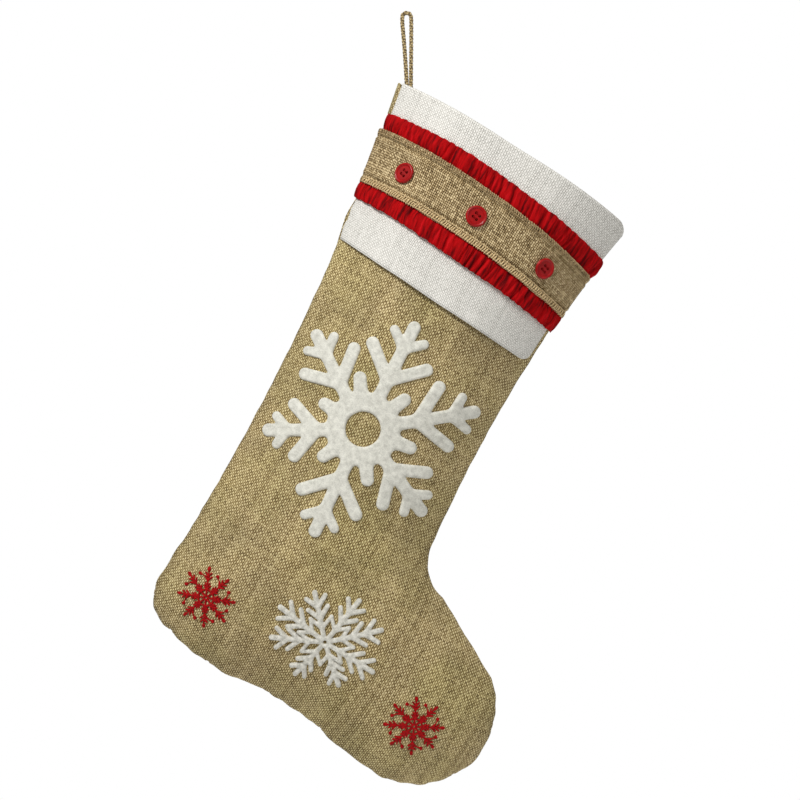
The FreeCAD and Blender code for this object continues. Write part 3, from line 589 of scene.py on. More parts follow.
def relief(seed, folds):
    """Dents, folds and seam puckers of one panel, in mm out from the smooth surface."""
    away = np.clip(grid_distance, 0.0, None)
    body = np.clip(away / 22.0, 0.0, 1.0) * np.clip((-95.0 - grid_y) / 60.0, 0.25, 1.0)
    height = sum(size * waves(grid_x, grid_y, seed + n, *ripples) * body
                 for n, (size, *ripples) in enumerate(DENTS))
    for start, end, width, size in folds:
        height += size * crease(grid_x, grid_y, start, end, width) * np.clip(away / 10.0, 0.0, 1.0)
    along = grid_nearest * SEAM_STEP
    bunch = np.sin(along * TURN / 13.0 + 2.2 * np.sin(along / 21.0))
    bunch = 0.5 * (bunch + np.sin(along * TURN / 8.3 + 1.7 * np.sin(along / 33.0)))
    strength = 0.28 + 0.75 * below(grid_y, SOLE_TOP, SOLE_FADE)
    return height + strength * bunch * (1.0 - np.exp(-away / 1.5)) * np.exp(-away / 9.0)


def skin(depth, seed, folds):
    """Outer surface of a panel: crown, relief and the lift that closes down at the seam."""
    lift = 0.3 + 1.5 * (1.0 - np.exp(-np.clip(grid_distance, 0.0, None) / 1.6))
    return Field(crown(grid_distance, depth) + lift + relief(seed, folds))


FRONT = skin(FRONT_DEPTH, 11, ANKLE_FOLDS)
BACK = skin(BACK_DEPTH, 29, [(*ends, width, BACK_SHARE * size) for *ends, width, size in ANKLE_FOLDS])
# The share of a slope's extra length that the cloth takes up, and the steepest slope counted.
EASE, STEEPEST = 0.35, 1.2
GIRTH_X, GIRTH_Y = 150.0, -380.0


def girth(surface):
    """Flat-pattern coordinates: the cloth gives on the slopes, so it takes up part of their length."""
    stretched = []
    for axis in (0, 1):
        slope = np.clip(np.gradient(surface.values, GRID, axis=axis), -STEEPEST, STEEPEST)
        longer = np.sqrt(1.0 + slope ** 2) - 1.0
        stretched.append(np.cumsum(1.0 + EASE * longer, axis=axis) * GRID)
    middle_x, middle_y = np.argmin(abs(GRID_X - GIRTH_X)), np.argmin(abs(GRID_Y - GIRTH_Y))
    wide, tall = stretched
    return Field(wide - wide[middle_x]), Field(tall - tall[:, middle_y:middle_y + 1])


# ---------------------------------------------------------------- mesh helpers
def to_row(x, y, z):
    """Pattern coordinates in mm to the row frame in metres."""
    across = CORNER_X + x * math.cos(LEAN) + y * math.sin(LEAN)
    up = CORNER_Z - x * math.sin(LEAN) + y * math.cos(LEAN)
    return np.stack([across, -np.asarray(z, float), up], -1) * MM


def new_piece(name, points, faces, material, uv):
    """A smooth-shaded mesh object; uv holds one pair per vertex."""
    mesh = bpy.data.meshes.new(name)
    mesh.from_pydata([tuple(point) for point in points], [], faces)
    mesh.materials.append(material)
    mesh.polygons.foreach_set("use_smooth", [True] * len(mesh.polygons))
    layer = mesh.uv_layers.new(name="UVMap")
    loops = np.empty(len(mesh.loops), int)
    mesh.loops.foreach_get("vertex_index", loops)
    layer.data.foreach_set("uv", np.asarray(uv, float)[loops].ravel())
    mesh.validate()
    piece = bpy.data.objects.new(name, mesh)
    bpy.context.collection.objects.link(piece)
    return piece


def sew(piece, slot, *nodes):
    """A finished piece rides the leg and stands for CAD nodes, which it hides; the slot is not used."""
    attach(piece, "stocking")
    if nodes:
        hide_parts(*nodes)
    return piece


def triangulate(points, loop_size):
    """Triangles of a closed loop with more points inside it; the loop's points come first."""
    edges = [(n, (n + 1) % loop_size) for n in range(loop_size)]
    made = delaunay_2d_cdt([Vector(p) for p in points], edges, [], 1, 1e-6)
    return np.array([tuple(v) for v in made[0]]), [tuple(face) for face in made[2]]


def two_sided(faces, count):
    """Faces of a closed sheet: the outer side, the inner side and the rim."""
    inner = [tuple(n + count for n in face[::-1]) for face in faces]
    edges = dict.fromkeys(edge for face in faces for edge in zip(face, face[1:] + face[:1]))
    rim = [(end, start, start + count, end + count) for start, end in edges if (end, start) not in edges]
    return faces + inner + rim


def normals(surface, x, y):
    """Direction out of a surface, in pattern coordinates."""
    across, along = surface.slope(x, y)
    length = np.sqrt(1.0 + across ** 2 + along ** 2)
    return -across / length, -along / length, 1.0 / length


def lattice(low, high, step):
    """Staggered points that fill a rectangle."""
    rows = np.arange(low[1], high[1], step * 0.87)
    points = []
    for number, y in enumerate(rows):
        xs = np.arange(low[0] + (step / 2.0) * (number % 2), high[0], step)
        points.append(np.stack([xs, np.full(xs.shape, y)], 1))
    return np.concatenate(points)


# ---------------------------------------------------------------- panels
CLOTH, LINING_CLOTH = 1.1, 0.5
MESH_STEP = 3.0
# How far the cuts stop below the mouth, and how far inside an outline the filling starts.
TOP_DROP, LINING_TOP = 3.0, 21.0
FILL_GAP = MESH_STEP * 0.6


def puckered(x, y):
    """Pattern points with the side seam's small ins and outs, which are deepest under the foot."""
    distance, nearest = seam_distance(x, y)
    away = np.clip(distance, 0.0, None)
    along = nearest * SEAM_STEP
    ripple = np.sin(along / 3.1 + 1.9 * np.sin(along / 17.0))
    ripple = ripple + 0.8 * np.sin(along / 6.7 + 1.1 * np.sin(along / 29.0))
    size = (0.16 + 0.34 * below(RISEN[nearest, 1], SOLE_TOP, SOLE_FADE)) * below(y, -8.0, 20.0)
    flare = 2.6 * np.exp(-((y + 106.0) / 15.0) ** 2) * (x < 100.0)
    shift = size * ripple * np.exp(-away / 4.0) + flare * np.exp(-away / 8.0)
    way = headings(RISEN)[nearest]
    return x + way[:, 1] * shift, y - way[:, 0] * shift


def thin_sheet(name, surface, side, flat, faces, place, thick, uv, material):
    """A closed sheet on a surface: its outer side, and its inner side a thickness further in."""
    x, y = flat.T
    px, py = place
    nx, ny, nz = normals(surface, x, y)
    outer = to_row(px, py, side * surface(x, y))
    inner = to_row(px - nx * thick, py - ny * thick, side * (surface(x, y) - nz * thick))
    if side < 0:
        faces = [face[::-1] for face in faces]
    points = np.concatenate([outer, inner])
    return new_piece(name, points, two_sided(faces, len(flat)), material, np.concatenate([uv, uv]))


def panel(name, surface, side, material):
    """One burlap panel of the leg, a thin closed sheet that thins towards the seam."""
    edge = seam_line(MESH_STEP)
    edge = edge[edge[:, 1] < mouth_height(edge[:, 0]) - TOP_DROP - 1.0]
    top_x = np.linspace(edge[-1][0] - 0.4, edge[0][0] + 0.4, 64)
    top = np.stack([top_x, mouth_height(top_x) - TOP_DROP], 1)
    loop = np.concatenate([edge, top])
    fill = lattice((-5.0, -450.0), (325.0, 5.0), MESH_STEP)
    keep = (DISTANCE(*fill.T) > FILL_GAP) & (fill[:, 1] < mouth_height(fill[:, 0]) - TOP_DROP - FILL_GAP)
    flat, faces = triangulate(np.concatenate([loop, fill[keep]]), len(loop))
    thick = CLOTH * np.clip(DISTANCE(*flat.T) / 2.5, 0.12, 1.0)
    uv = np.stack([measure(*flat.T) for measure in girth(surface)], 1) * MM
    return thin_sheet(name, surface, side, flat, faces, puckered(*flat.T), thick, uv, material)


LINING_INSET, LINING_REACH, LINING_SEED = 6.5, 70.5, 51


def lining_skin(depth, seed):
    """The loose lining's outer surface, inside one panel."""
    share = np.clip((grid_distance - LINING_INSET) / LINING_REACH, 0.0, 1.0)
    height = depth * share * (2.0 - share)
    body = np.clip((grid_distance - LINING_INSET) / 12.0, 0.0, 1.0)
    return Field(0.8 + height + body * (1.1 * waves(grid_x, grid_y, seed, 8, 26.0, 70.0) - 0.9))


def lining(name, surface, side, material):
    """One lining panel, a thin closed sheet that stops below the mouth."""
    room = np.minimum(grid_distance - LINING_INSET, mouth_height(grid_x) - LINING_TOP - grid_y)
    loop = even_loop(max(contour(room, GRID_X, GRID_Y, 0.0), key=len), MESH_STEP)
    fill = lattice((0.0, -445.0), (320.0, 0.0), MESH_STEP)
    keep = Field(room)(*fill.T) > FILL_GAP
    flat, faces = triangulate(np.concatenate([loop, fill[keep]]), len(loop))
    return thin_sheet(name, surface, side, flat, faces, flat.T, LINING_CLOTH, flat * MM, material)


# ---------------------------------------------------------------- strips round the leg
# No strip on the front lies lower than this off the side seam's plane.
LOWEST_STRIP = 0.25
LEFT_SIDE = SEAM[: int(np.argmin(abs(SEAM[:, 1] + 360.0)))]
RIGHT_SIDE = SEAM[len(SEAM) - int(np.argmax(SEAM[::-1, 1] < -270.0)):][::-1]


def side_limits(y):
    """The x of both side seams at y."""
    left = np.interp(-y, -LEFT_SIDE[:, 1], LEFT_SIDE[:, 0])
    right = np.interp(-y, -RIGHT_SIDE[:, 1], RIGHT_SIDE[:, 0])
    return left, right


def across(share, y_of_x, inset=(0.0, 0.0)):
    """Points at equal shares of the width along a cross line, between the side seams."""
    x = np.float64(100.0)
    for _ in range(6):
        left, right = side_limits(y_of_x(x))
        x = left + inset[0] + share * (right - inset[1] - left - inset[0])
    return x, y_of_x(x)


def width_shares(count):
    """Shares of the width, closer together where the surface turns towards the seams."""
    even, crowding = np.linspace(0.0, 1.0, count), 0.45
    crowded = (1.0 - np.cos(np.linspace(0.0, math.pi, count))) / 2.0
    return crowding * crowded + (1.0 - crowding) * even


def tube_faces(sections, ring):
    """Faces of a closed tube whose sections have the same number of points round them."""
    faces = []
    for c in range(sections - 1):
        for r in range(ring):
            n = (r + 1) % ring
            faces.append((c * ring + r, (c + 1) * ring + r, (c + 1) * ring + n, c * ring + n))
    return faces + [tuple(range(ring)), tuple(reversed(range((sections - 1) * ring, sections * ring)))]


def strip(name, surface, columns, profile, material, side=1):
    """A closed tube-like strip of cloth across the leg.

    profile(column share) gives x, y and the height off the surface round the strip's section.
    """
    sections = np.array([profile(share) for share in width_shares(columns)])
    x, y, off = sections.transpose(1, 0, 2)
    nx, ny, nz = normals(surface, x, y)
    height = surface(x, y) + nz * off
    if side > 0:
        height = np.maximum(height, LOWEST_STRIP)
    place = to_row(x + nx * off, y + ny * off, side * height)
    runs = []
    for axis in (0, 1):
        steps = np.linalg.norm(np.diff(place, axis=axis), axis=2).mean(1 - axis)
        runs.append(np.concatenate([[0.0], np.cumsum(steps)]))
    uv = np.stack(np.meshgrid(*runs, indexing="ij"), -1).reshape(-1, 2)
    faces = tube_faces(columns, x.shape[1])
    if side < 0:
        faces = [face[::-1] for face in faces]
    return new_piece(name, place.reshape(-1, 3), faces, material, uv)


def offset_path(path, thickness):
    """A closed outline round a centre path, in (down, off) coordinates."""
    way = headings(path)
    out = np.stack([-way[:, 1], way[:, 0]], 1) * thickness / 2.0
    return np.concatenate([path + out, (path - out)[::-1]])


# Folded cloth: its thickness, its facing's length, its height off the leg, and the fold's size.
FOLD_CLOTH, FACING, FOLD_OFF, FOLD_SIZE = 1.15, 20.0, 0.85, 3.2
CUFF_LIFT, HEM_LIFT, HEM_DROP = 2.7, 0.1, 23.0
# Distances down the cuff, and how far inside the side seam each edge lies there.
CUFF_LEFT = ([0.0, 24.0, 60.0, 90.0], [4.2, 3.4, 2.0, 2.2])
CUFF_RIGHT = ([0.0, 70.0, 95.0], [0.0, 0.8, 3.4])
CUFF_COLUMNS = 150


def fold_profile(depth, near, behind, rows, lift_edge):
    """Section of cloth folded over the mouth: down the outside, over the edge, down the inside."""
    radius = (near - behind) / 2.0
    down = np.concatenate([np.linspace(depth, 6.0, rows), np.linspace(4.5, radius + 0.2, 3)])
    outside = np.stack([down, near + lift_edge * np.exp(-(depth - down) / 9.0)], 1)
    turn = np.linspace(0.0, math.pi, 9)
    over = np.stack([radius - radius * np.sin(turn), (near + behind) / 2.0 + radius * np.cos(turn)], 1)
    back = np.linspace(radius + 0.6, FACING, 7)
    inside = np.stack([back, np.full(back.shape, behind)], 1)
    return offset_path(np.concatenate([outside, over, inside]), FOLD_CLOTH)


def cuff_strip(name, surface, edge_line, material, side=1):
    """The cuff, or the back panel's hem: folded over the mouth with a facing inside."""
    rows = 40 if side > 0 else 10

    def profile(share):
        swell = math.sin(share * math.pi) ** 0.5 if 0.0 < share < 1.0 else 0.0
        wave = 0.35 * math.sin(share * 19.0 + 0.6) + 0.25 * math.sin(share * 37.0)
        x_top = across(share, mouth_height)[0]
        depth = float(mouth_height(x_top) - edge_line(x_top))
        lift = (CUFF_LIFT + wave) * swell if side > 0 else HEM_LIFT
        behind = FOLD_OFF - FOLD_SIZE * min(1.0, 0.25 + swell)
        down, off = fold_profile(depth, FOLD_OFF, behind, rows, lift).T
        left = right = 0.0
        if side > 0:
            left = np.interp(down, *CUFF_LEFT) - 2.4 * np.exp(-((down - 106.0) / 15.0) ** 2)
            right = np.interp(down, *CUFF_RIGHT)
        return (*across(share, lambda q: mouth_height(q) - down, (left, right)), off)

    return strip(name, surface, CUFF_COLUMNS, profile, material, side)


# ---------------------------------------------------------------- ruffles, band and stitches
def folds(x, seed):
    """Gathering across the leg: rounded folds from 0 to 1 with sharp valleys, unevenly spaced."""
    random = np.random.default_rng(seed)
    a, b, c = random.uniform(0.0, TURN, 3)
    phase = TURN * x / 7.4 + 1.3 * np.sin(x / 5.3 + a)
    phase = phase + 1.1 * np.sin(x / 8.9 + b) + 2.0 * np.sin(x / 31.0 + c)
    strength = 0.72 + 0.28 * np.sin(x / 9.7 + b) * np.sin(x / 4.1 + c)
    return strength * np.abs(np.cos(phase / 2.0)) ** 0.9 + 0.12 * np.sin(phase * 2.3 + a)


# The ruffle's section: places from its sewn line out to its free edge, negative under the band.
RUFFLE_ROWS = np.array([-4.0, -2.0, -0.6, 0.2, 0.9, 1.8, 3.0, 4.4, 5.8, 7.2, 8.6, 9.8, 10.6, 11.1, 11.35])
RUFFLE_REACH, RUFFLE_COLUMNS = 11.35, 420
RUFFLE_BASE, RUFFLE_TOP_OFF, RUFFLE_PUFF, RUFFLE_EDGE_OFF = 1.5, 2.35, 2.2, 2.1
# How deep the pleats are, and the share of it along the section.
PLEAT_DEPTH, PLEAT_MIDDLE = 2.6, 0.55
PLEAT_GRIP = ([-1.0, 0.0, 2.2, 10.6, 11.35], [0.0, 0.25, 1.0, 0.9, 0.3])


def ruffle(name, held_line, free_line, seed, inset, lift, material):
    """A gathered strip held under the band's edge, with a soft puffed free edge lifted off the cuff."""
    rows, along = RUFFLE_ROWS, np.clip(RUFFLE_ROWS / RUFFLE_REACH, 0.0, 1.0)

    def profile(share):
        x_held = float(across(share, lambda q: line_height(held_line, q), inset)[0])
        width = float(line_height(free_line, x_held) - line_height(held_line, x_held))
        way = math.copysign(1.0, width)
        scallop = 0.9 * (folds(x_held, seed) - PLEAT_MIDDLE) + 0.35 * math.sin(x_held / 17.0 + seed)
        run = np.where(rows > 0.0, rows * (abs(width) + scallop) / RUFFLE_REACH, rows)
        lean = 0.30 * math.sin(x_held / 23.0 + seed)
        pleat = folds(x_held + lean * run, seed) - PLEAT_MIDDLE
        top = RUFFLE_TOP_OFF + RUFFLE_PUFF * np.sin(math.pi * along ** 0.85) ** 0.55
        top = top + PLEAT_DEPTH * pleat * np.interp(rows, *PLEAT_GRIP)
        top[-1] = RUFFLE_EDGE_OFF + 0.4 * pleat[-1]
        rise = lift * along ** 2 * min(1.0, 12.0 * share, 12.0 * (1.0 - share))
        back = run[::-1][1:] - np.where(rows[::-1][1:] > 10.0, 0.5, 0.0)
        path = np.concatenate([run, back])
        x, y = across(share, lambda q: line_height(held_line, q) + way * path, inset)
        section = np.stack([x, y, np.concatenate([top + rise, RUFFLE_BASE + rise[1:]])])
        return section[:, ::-1] if way > 0 else section

    return strip(name, FRONT, RUFFLE_COLUMNS, profile, material)


# The band's edge: places in from it, and the cloth's height there, with the groove of its stitches.
BAND_ENDS = np.array([-0.35, -0.3, 0.3, 1.2, 2.8, 3.8, 4.6, 5.4, 6.2, 7.0, 7.8, 8.8, 10.4])
BAND_TOPS = np.array([2.7, 3.9, 4.9, 5.2, 5.1, 4.4, 3.4, 3.0, 3.3, 4.7, 5.1, 4.8, 4.3])
BAND_MIDDLE, BAND_BASE, BAND_COLUMNS = 4.2, 2.2, 200


def burlap_band(name, material):
    """The buttoned band: burlap with both long edges folded in and sewn down."""
    top = np.concatenate([BAND_TOPS, np.full(9, BAND_MIDDLE), BAND_TOPS[::-1], np.full(6, BAND_BASE)])

    def profile(share):
        x_mid = float(across(share, lambda q: line_height(BAND_TOP, q))[0])
        width = float(line_height(BAND_TOP, x_mid) - line_height(BAND_BOTTOM, x_mid))
        wobble = 0.35 * math.sin(x_mid / 5.1) + 0.3 * math.sin(x_mid / 13.0 + 2.0)
        run = np.concatenate([BAND_ENDS, np.linspace(12.4, width - 12.4, 9), width - BAND_ENDS[::-1]])
        run = run + np.where(run < 2.0, wobble * 0.6, 0.0) + np.where(run > width - 2.0, wobble, 0.0)
        run = np.concatenate([run, np.linspace(width - 1.2, 1.2, 6)])
        from_end = 200.0 * min(share, 1.0 - share)
        off = BAND_BASE + (top - BAND_BASE) * (1.0 - 0.6 * math.exp(-from_end / 3.5))

        def height(q):
            upper = line_height(BAND_TOP, q)
            return upper + (line_height(BAND_BOTTOM, q) - upper) * run / width
        return (*across(share, height), off)

    return strip(name, FRONT, BAND_COLUMNS, profile, material)


def tube(path, radius, sides=6, taper=True):
    """Vertices and faces of a thin closed tube along points in metres, with rounded-off ends."""
    way = headings(path)
    first = np.cross(way, np.array([0.31, -0.92, 0.25]))
    first /= np.linalg.norm(first, axis=1)[:, None]
    second = np.cross(way, first)
    sizes = np.full(len(path), radius)
    if taper:
        sizes[0] = sizes[-1] = radius * 0.45
    turn = np.arange(sides) * TURN / sides
    ring = first[:, None] * np.cos(turn)[None, :, None] + second[:, None] * np.sin(turn)[None, :, None]
    points = (path[:, None] + ring * sizes[:, None, None]).reshape(-1, 3)
    faces = []
    for n in range(len(path) - 1):
        for k in range(sides):
            m = (k + 1) % sides
            faces.append((n * sides + k, n * sides + m, (n + 1) * sides + m, (n + 1) * sides + k))
    faces += [tuple(reversed(range(sides))), tuple(range((len(path) - 1) * sides, len(path) * sides))]
    uv = np.stack(np.broadcast_arrays(turn[None, :] / TURN * MM, run_lengths(path)[:, None]), -1)
    return points, faces, uv.reshape(-1, 2)


def joined(name, tubes, material):
    """One mesh of many tubes."""
    faces, count = [], 0
    for points, part_faces, _ in tubes:
        faces += [tuple(n + count for n in face) for face in part_faces]
        count += len(points)
    points, uvs = (np.concatenate([part[number] for part in tubes]) for number in (0, 2))
    return new_piece(name, points, faces, material, uvs)


def on_surface(surface, x, y, off, side=1):
    """Points at a height off a panel's surface, in the row frame."""
    nx, ny, nz = normals(surface, x, y)
    return to_row(x + nx * off, y + ny * off, side * (surface(x, y) + nz * off))


# The overlock stitches: first and last place across the leg, the bars' spacing and height off the
# leg, the loops' height, and how far the bars stay inside the side seams.
STITCH_FIRST, STITCH_LAST, STITCH_PITCH, STITCH_OFF, LOOP_OFF = 2.0, 203.0, 1.75, 5.6, 5.3
CLEAR_LEFT, CLEAR_RIGHT = 2.2, 3.4


def band_stitches(name, line, inward, seed, heavy, reach, material):
    """Overlock stitches: slanting thread bars over the band's edge, tied by a line of loops."""
    random = np.random.default_rng(seed)
    tubes = []
    x = STITCH_FIRST
    while x < STITCH_LAST:
        left, right = side_limits(line_height(line, x))
        slant = 1.3 + random.uniform(-0.35, 0.35)
        start, end = -0.5 + random.uniform(-0.4, 0.2), reach + random.uniform(-0.3, 0.5)
        run = np.linspace(start, end, 6)
        px = x + slant * (run - start) / (end - start)
        if left + CLEAR_LEFT < x < right - CLEAR_RIGHT:
            py = line_height(line, px) + inward * run
            off = STITCH_OFF - 0.9 * np.abs(np.linspace(-1.0, 1.0, 6)) ** 3
            off[:2] -= np.array([0.8, 0.1])
            tubes.append(tube(on_surface(FRONT, px, py, off), heavy * random.uniform(0.34, 0.44) * MM))
        x += STITCH_PITCH + random.uniform(-0.2, 0.35)
    px = np.arange(STITCH_FIRST + 3.0, STITCH_LAST - 8.0, 0.7)
    left, right = side_limits(line_height(line, px))
    qx = px[(px > left + CLEAR_LEFT) & (px < right - 3.0)]
    for place, size, pitch in ((reach + 0.3, 0.26 * heavy, 2.1), (0.4, 0.22 * heavy, 2.0)):
        py = line_height(line, qx) + inward * (place + 0.28 * np.sin(qx * TURN / pitch))
        tubes.append(tube(on_surface(FRONT, qx, py, np.full(qx.shape, LOOP_OFF)), size * MM))
    return joined(name, tubes, material)


def hem_stitches(name, drop, material):
    """A line of running stitches along the lower edge of the back panel's hem."""
    random = np.random.default_rng(17)
    left, right = side_limits(mouth_height(100.0) - drop)
    tubes = []
    x = left + 3.5
    while x < right - 8.0:
        px = np.linspace(x, x + (3.3 + random.uniform(-0.4, 0.4)), 7)
        py = mouth_height(px) - drop + random.uniform(-0.2, 0.2)
        off = 1.75 - 0.75 * np.abs(np.linspace(-1.0, 1.0, 7)) ** 3
        tubes.append(tube(on_surface(BACK, px, py, off, -1), 0.36 * MM))
        x += 4.9 + random.uniform(-0.3, 0.3)
    return joined(name, tubes, material)


# ---------------------------------------------------------------- snowflakes
def turned(point, degrees):
    """A point turned about the middle."""
    angle = math.radians(degrees)
    x, y = point
    return (x * math.cos(angle) - y * math.sin(angle), x * math.sin(angle) + y * math.cos(angle))


def arm_bars(degrees, bars, scale=1.0):
    """Bars of one arm, given along the x axis, stretched and turned into place."""
    return [(*(turned((x * scale, y * scale), degrees) for x, y in ends), r0, r1) for *ends, r0, r1 in bars]


def prongs(*bars):
    """Bars that branch off the middle of an arm, on both sides of it."""
    return [((root, 0.0), (x, side * y), r0, r1) for side in (-1, 1) for root, x, y, r0, r1 in bars]


def bar_depth(x, y, bars, blend):
    """How deep points lie inside a set of round-ended bars, with softly filled corners."""
    total = np.zeros(np.shape(x))
    for (ax, ay), (bx, by), r0, r1 in bars:
        dx, dy = bx - ax, by - ay
        length = max(dx * dx + dy * dy, 1e-9)
        share = np.clip(((x - ax) * dx + (y - ay) * dy) / length, 0.0, 1.0)
        gap = np.hypot(x - ax - share * dx, y - ay - share * dy)
        total += np.exp(np.clip((r0 + (r1 - r0) * share - gap) / blend, -40.0, 40.0))
    return np.log(np.maximum(total, 1e-30)) * blend


def contour(values, xs, ys, level):
    """Closed lines where a grid of values passes a level."""
    above = values > level
    links = {}

    def crossing(i, j, p, q):
        share = (level - values[i, j]) / (values[p, q] - values[i, j])
        return (xs[i] + share * (xs[p] - xs[i]), ys[j] + share * (ys[q] - ys[j]))

    cells = np.argwhere((above[:-1, :-1] != above[1:, :-1]) | (above[:-1, :-1] != above[:-1, 1:])
                        | (above[:-1, :-1] != above[1:, 1:]))
    places = {}
    for i, j in cells:
        corners = [(i, j), (i + 1, j), (i + 1, j + 1), (i, j + 1)]
        out = []
        for n in range(4):
            a, b = corners[n], corners[(n + 1) % 4]
            if above[a] != above[b]:
                key = (min(a, b), max(a, b))
                if key not in places:
                    places[key] = crossing(*key[0], *key[1])
                out.append((key, above[a]))
        leaving = [key for key, flag in out if flag]
        entering = [key for key, flag in out if not flag]
        for start, end in zip(leaving, entering):
            links[start] = end
    loops = []
    while links:
        start = next(iter(links))
        keys = [start]
        following = links.pop(start)
        while following != start and following in links:
            keys.append(following)
            following = links.pop(following)
        loops.append(np.array([places[key] for key in keys]))
    return loops


def even_loop(loop, step):
    """The loop's points spaced evenly."""
    closed = np.concatenate([loop, loop[:1]])
    run = np.concatenate([[0.0], np.cumsum(np.linalg.norm(np.diff(closed, axis=0), axis=1))])
    count = max(6, round(run[-1] / step))
    places = np.linspace(0.0, run[-1], count, endpoint=False)
    return np.stack([np.interp(places, run, closed[:, axis]) for axis in (0, 1)], 1)


APPLIQUE_BASE = -0.25


def applique(name, centre, depth_at, reach, step, thickness, edge, rough, material):
    """A cut-out laid on the front panel: flat below, with rounded edges and an uneven face."""
    rough_size, seed, shortest, longest = rough
    grid = np.arange(-reach, reach + step, step * 0.6)
    values = depth_at(*np.meshgrid(grid, grid, indexing="ij"))
    points, edges = [], []
    for level in (0.0, 0.22, 0.6, 1.0):
        for loop in contour(values, grid, grid, level * edge):
            if len(loop) > 5:
                first, loop = len(points), even_loop(loop, step * (0.9 if level else 0.8))
                points += [tuple(p) for p in loop]
                if not level:
                    edges += [(first + n, first + (n + 1) % len(loop)) for n in range(len(loop))]
    fill = lattice((-reach, -reach), (reach, reach), step)
    points += [tuple(p) for p in fill[depth_at(*fill.T) > edge * 1.25]]
    made = delaunay_2d_cdt([Vector(p) for p in points], edges, [], 0, 1e-6)
    flat = np.array([tuple(v) for v in made[0]])
    corners = np.array([tuple(face) for face in made[2]])
    kept = corners[depth_at(*flat[corners].mean(1).T) > 0.0]
    used = np.unique(kept)
    faces = [tuple(face) for face in np.searchsorted(used, kept).tolist()]
    flat = flat[used]
    share = np.clip(depth_at(*flat.T) / edge, 0.0, 1.0)
    top = thickness * (0.28 + 0.72 * np.sqrt(1.0 - (1.0 - share) ** 2)) 
    top += rough_size * waves(*flat.T, seed, 12, shortest, longest) * share
    px, py = (flat + centre).T
    sides = [on_surface(FRONT, px, py, off) for off in (top, np.full(top.shape, APPLIQUE_BASE))]
    uv = np.concatenate([flat, flat]) * MM
    return new_piece(name, np.concatenate(sides), two_sided(faces, len(flat)), material, uv)


FELT_CENTRE, PUFFY_CENTRE = (115.9, -231.8), (174.2, -377.0)
HEEL_CENTRE, TOE_CENTRE = (83.8, -397.6), (262.3, -396.4)
# Each arm's and lobe's direction in degrees and length; the ring; then the parts of a standard arm.
FELT_ARMS = [(95.2, 87.0), (40.6, 87.2), (-23.2, 78.0), (-83.2, 86.0), (213.0, 74.5), (148.6, 81.5)]
FELT_LOBES = [(67.3, 41.5), (10.2, 41.5), (-53.2, 41.5), (-113.7, 39.5), (179.0, 38.0), (125.2, 42.0)]


FELT_ARM = [((20.0, 0.0), (66.0, 0.0), 4.9, 4.5), ((66.0, 0.0), (79.2, 0.0), 4.5, 4.8),
            *prongs((38.0, 56.8, 21.0, 4.6, 4.7), (62.5, 72.0, 11.5, 3.8, 3.5))]
FELT_LENGTH, RING_MIDDLE, RING_HALF, FELT_HOLE = 84.0, 19.8, 7.0, 12.7


def felt_bars():
    """The big felt snowflake's six branched arms and the six lobes between them."""
    bars = []
    for degrees, length in FELT_ARMS:
        bars += arm_bars(degrees, FELT_ARM, length / FELT_LENGTH)
    for degrees, length in FELT_LOBES:
        bars += arm_bars(degrees, [((22.0, 0.0), (length - 4.8, 0.0), 5.4, 4.7)])
    return bars


def felt_depth(x, y):
    """How deep points lie inside the felt snowflake, whose ring has a round hole."""
    out, soft = np.hypot(x, y), 0.9
    ring = RING_HALF - np.abs(out - RING_MIDDLE)
    solid = np.logaddexp(bar_depth(x, y, felt_bars(), 0.55) / soft, ring / soft) * soft
    return np.minimum(solid, out - FELT_HOLE)


PUFFY_ARMS = [(133.5, 38.5), (82.1, 40.0), (43.0, 43.2), (-0.2, 42.4), (-41.3, 35.0), (-99.9, 34.8),
              (207.8, 41.0), (173.6, 43.0)]


PUFFY_ARM = [((3.0, 0.0), (39.2, 0.0), 1.75, 1.95),
             *prongs((27.5, 35.6, 7.4, 1.9, 1.7), (18.5, 27.0, 7.6, 1.9, 1.7))]
PUFFY_LENGTH, STAR_TIP, STAR_ROOT = 41.0, 20.0, 11.2


def puffy_bars():
    """The small puffy snowflake: eight arms with two pairs of prongs, and a star between them."""
    bars = []
    for n, (degrees, length) in enumerate(PUFFY_ARMS):
        bars += arm_bars(degrees, PUFFY_ARM, length / PUFFY_LENGTH)
        following, next_length = PUFFY_ARMS[(n + 1) % len(PUFFY_ARMS)]
        half = ((following - degrees + 180.0) % 360.0 - 180.0) / 2.0
        tip = turned((STAR_TIP * (length + next_length) / (2.0 * PUFFY_LENGTH), 0.0), degrees + half)
        for root_degrees, root_length in ((degrees, length), (following, next_length)):
            bars.append((turned((STAR_ROOT * root_length / PUFFY_LENGTH, 0.0), root_degrees), tip, 1.55, 1.3))
    return bars


def puffy_depth(x, y):
    """How deep points lie inside the puffy snowflake, with a pinhole in its middle."""
    solid = np.maximum(bar_depth(x, y, puffy_bars(), 0.28), 4.4 - np.hypot(x, y))
    return np.minimum(solid, np.hypot(x, y) - 1.3)


RED_ARM = [((1.5, 0.0), (19.5, 0.0), 0.75, 0.55), ((20.6, 0.0), (21.6, 0.0), 1.25, 1.1),
           *prongs((12.8, 15.4, 2.7, 0.8, 0.62), (15.6, 18.2, 2.3, 0.8, 0.55),
                   (6.0, 8.9, 2.4, 0.9, 0.6), (8.2, 10.9, 1.8, 0.8, 0.5))]


def red_bars(first_arm):
    """An embroidered snowflake: eight barbed arms and eight dots on fine threads between them."""
    bars = []
    for n in range(8):
        degrees = first_arm + 45.0 * n
        bars += arm_bars(degrees, RED_ARM)
        dot = turned((18.0, 0.0), degrees + 21.5)
        bars.append((dot, dot, 1.3, 1.3))
        bars.append((dot, turned((14.8, 0.0), degrees), 0.32, 0.32))
        bars.append((turned((6.4, 0.0), degrees), turned((6.4, 0.0), degrees + 45.0), 0.7, 0.7))
    return bars


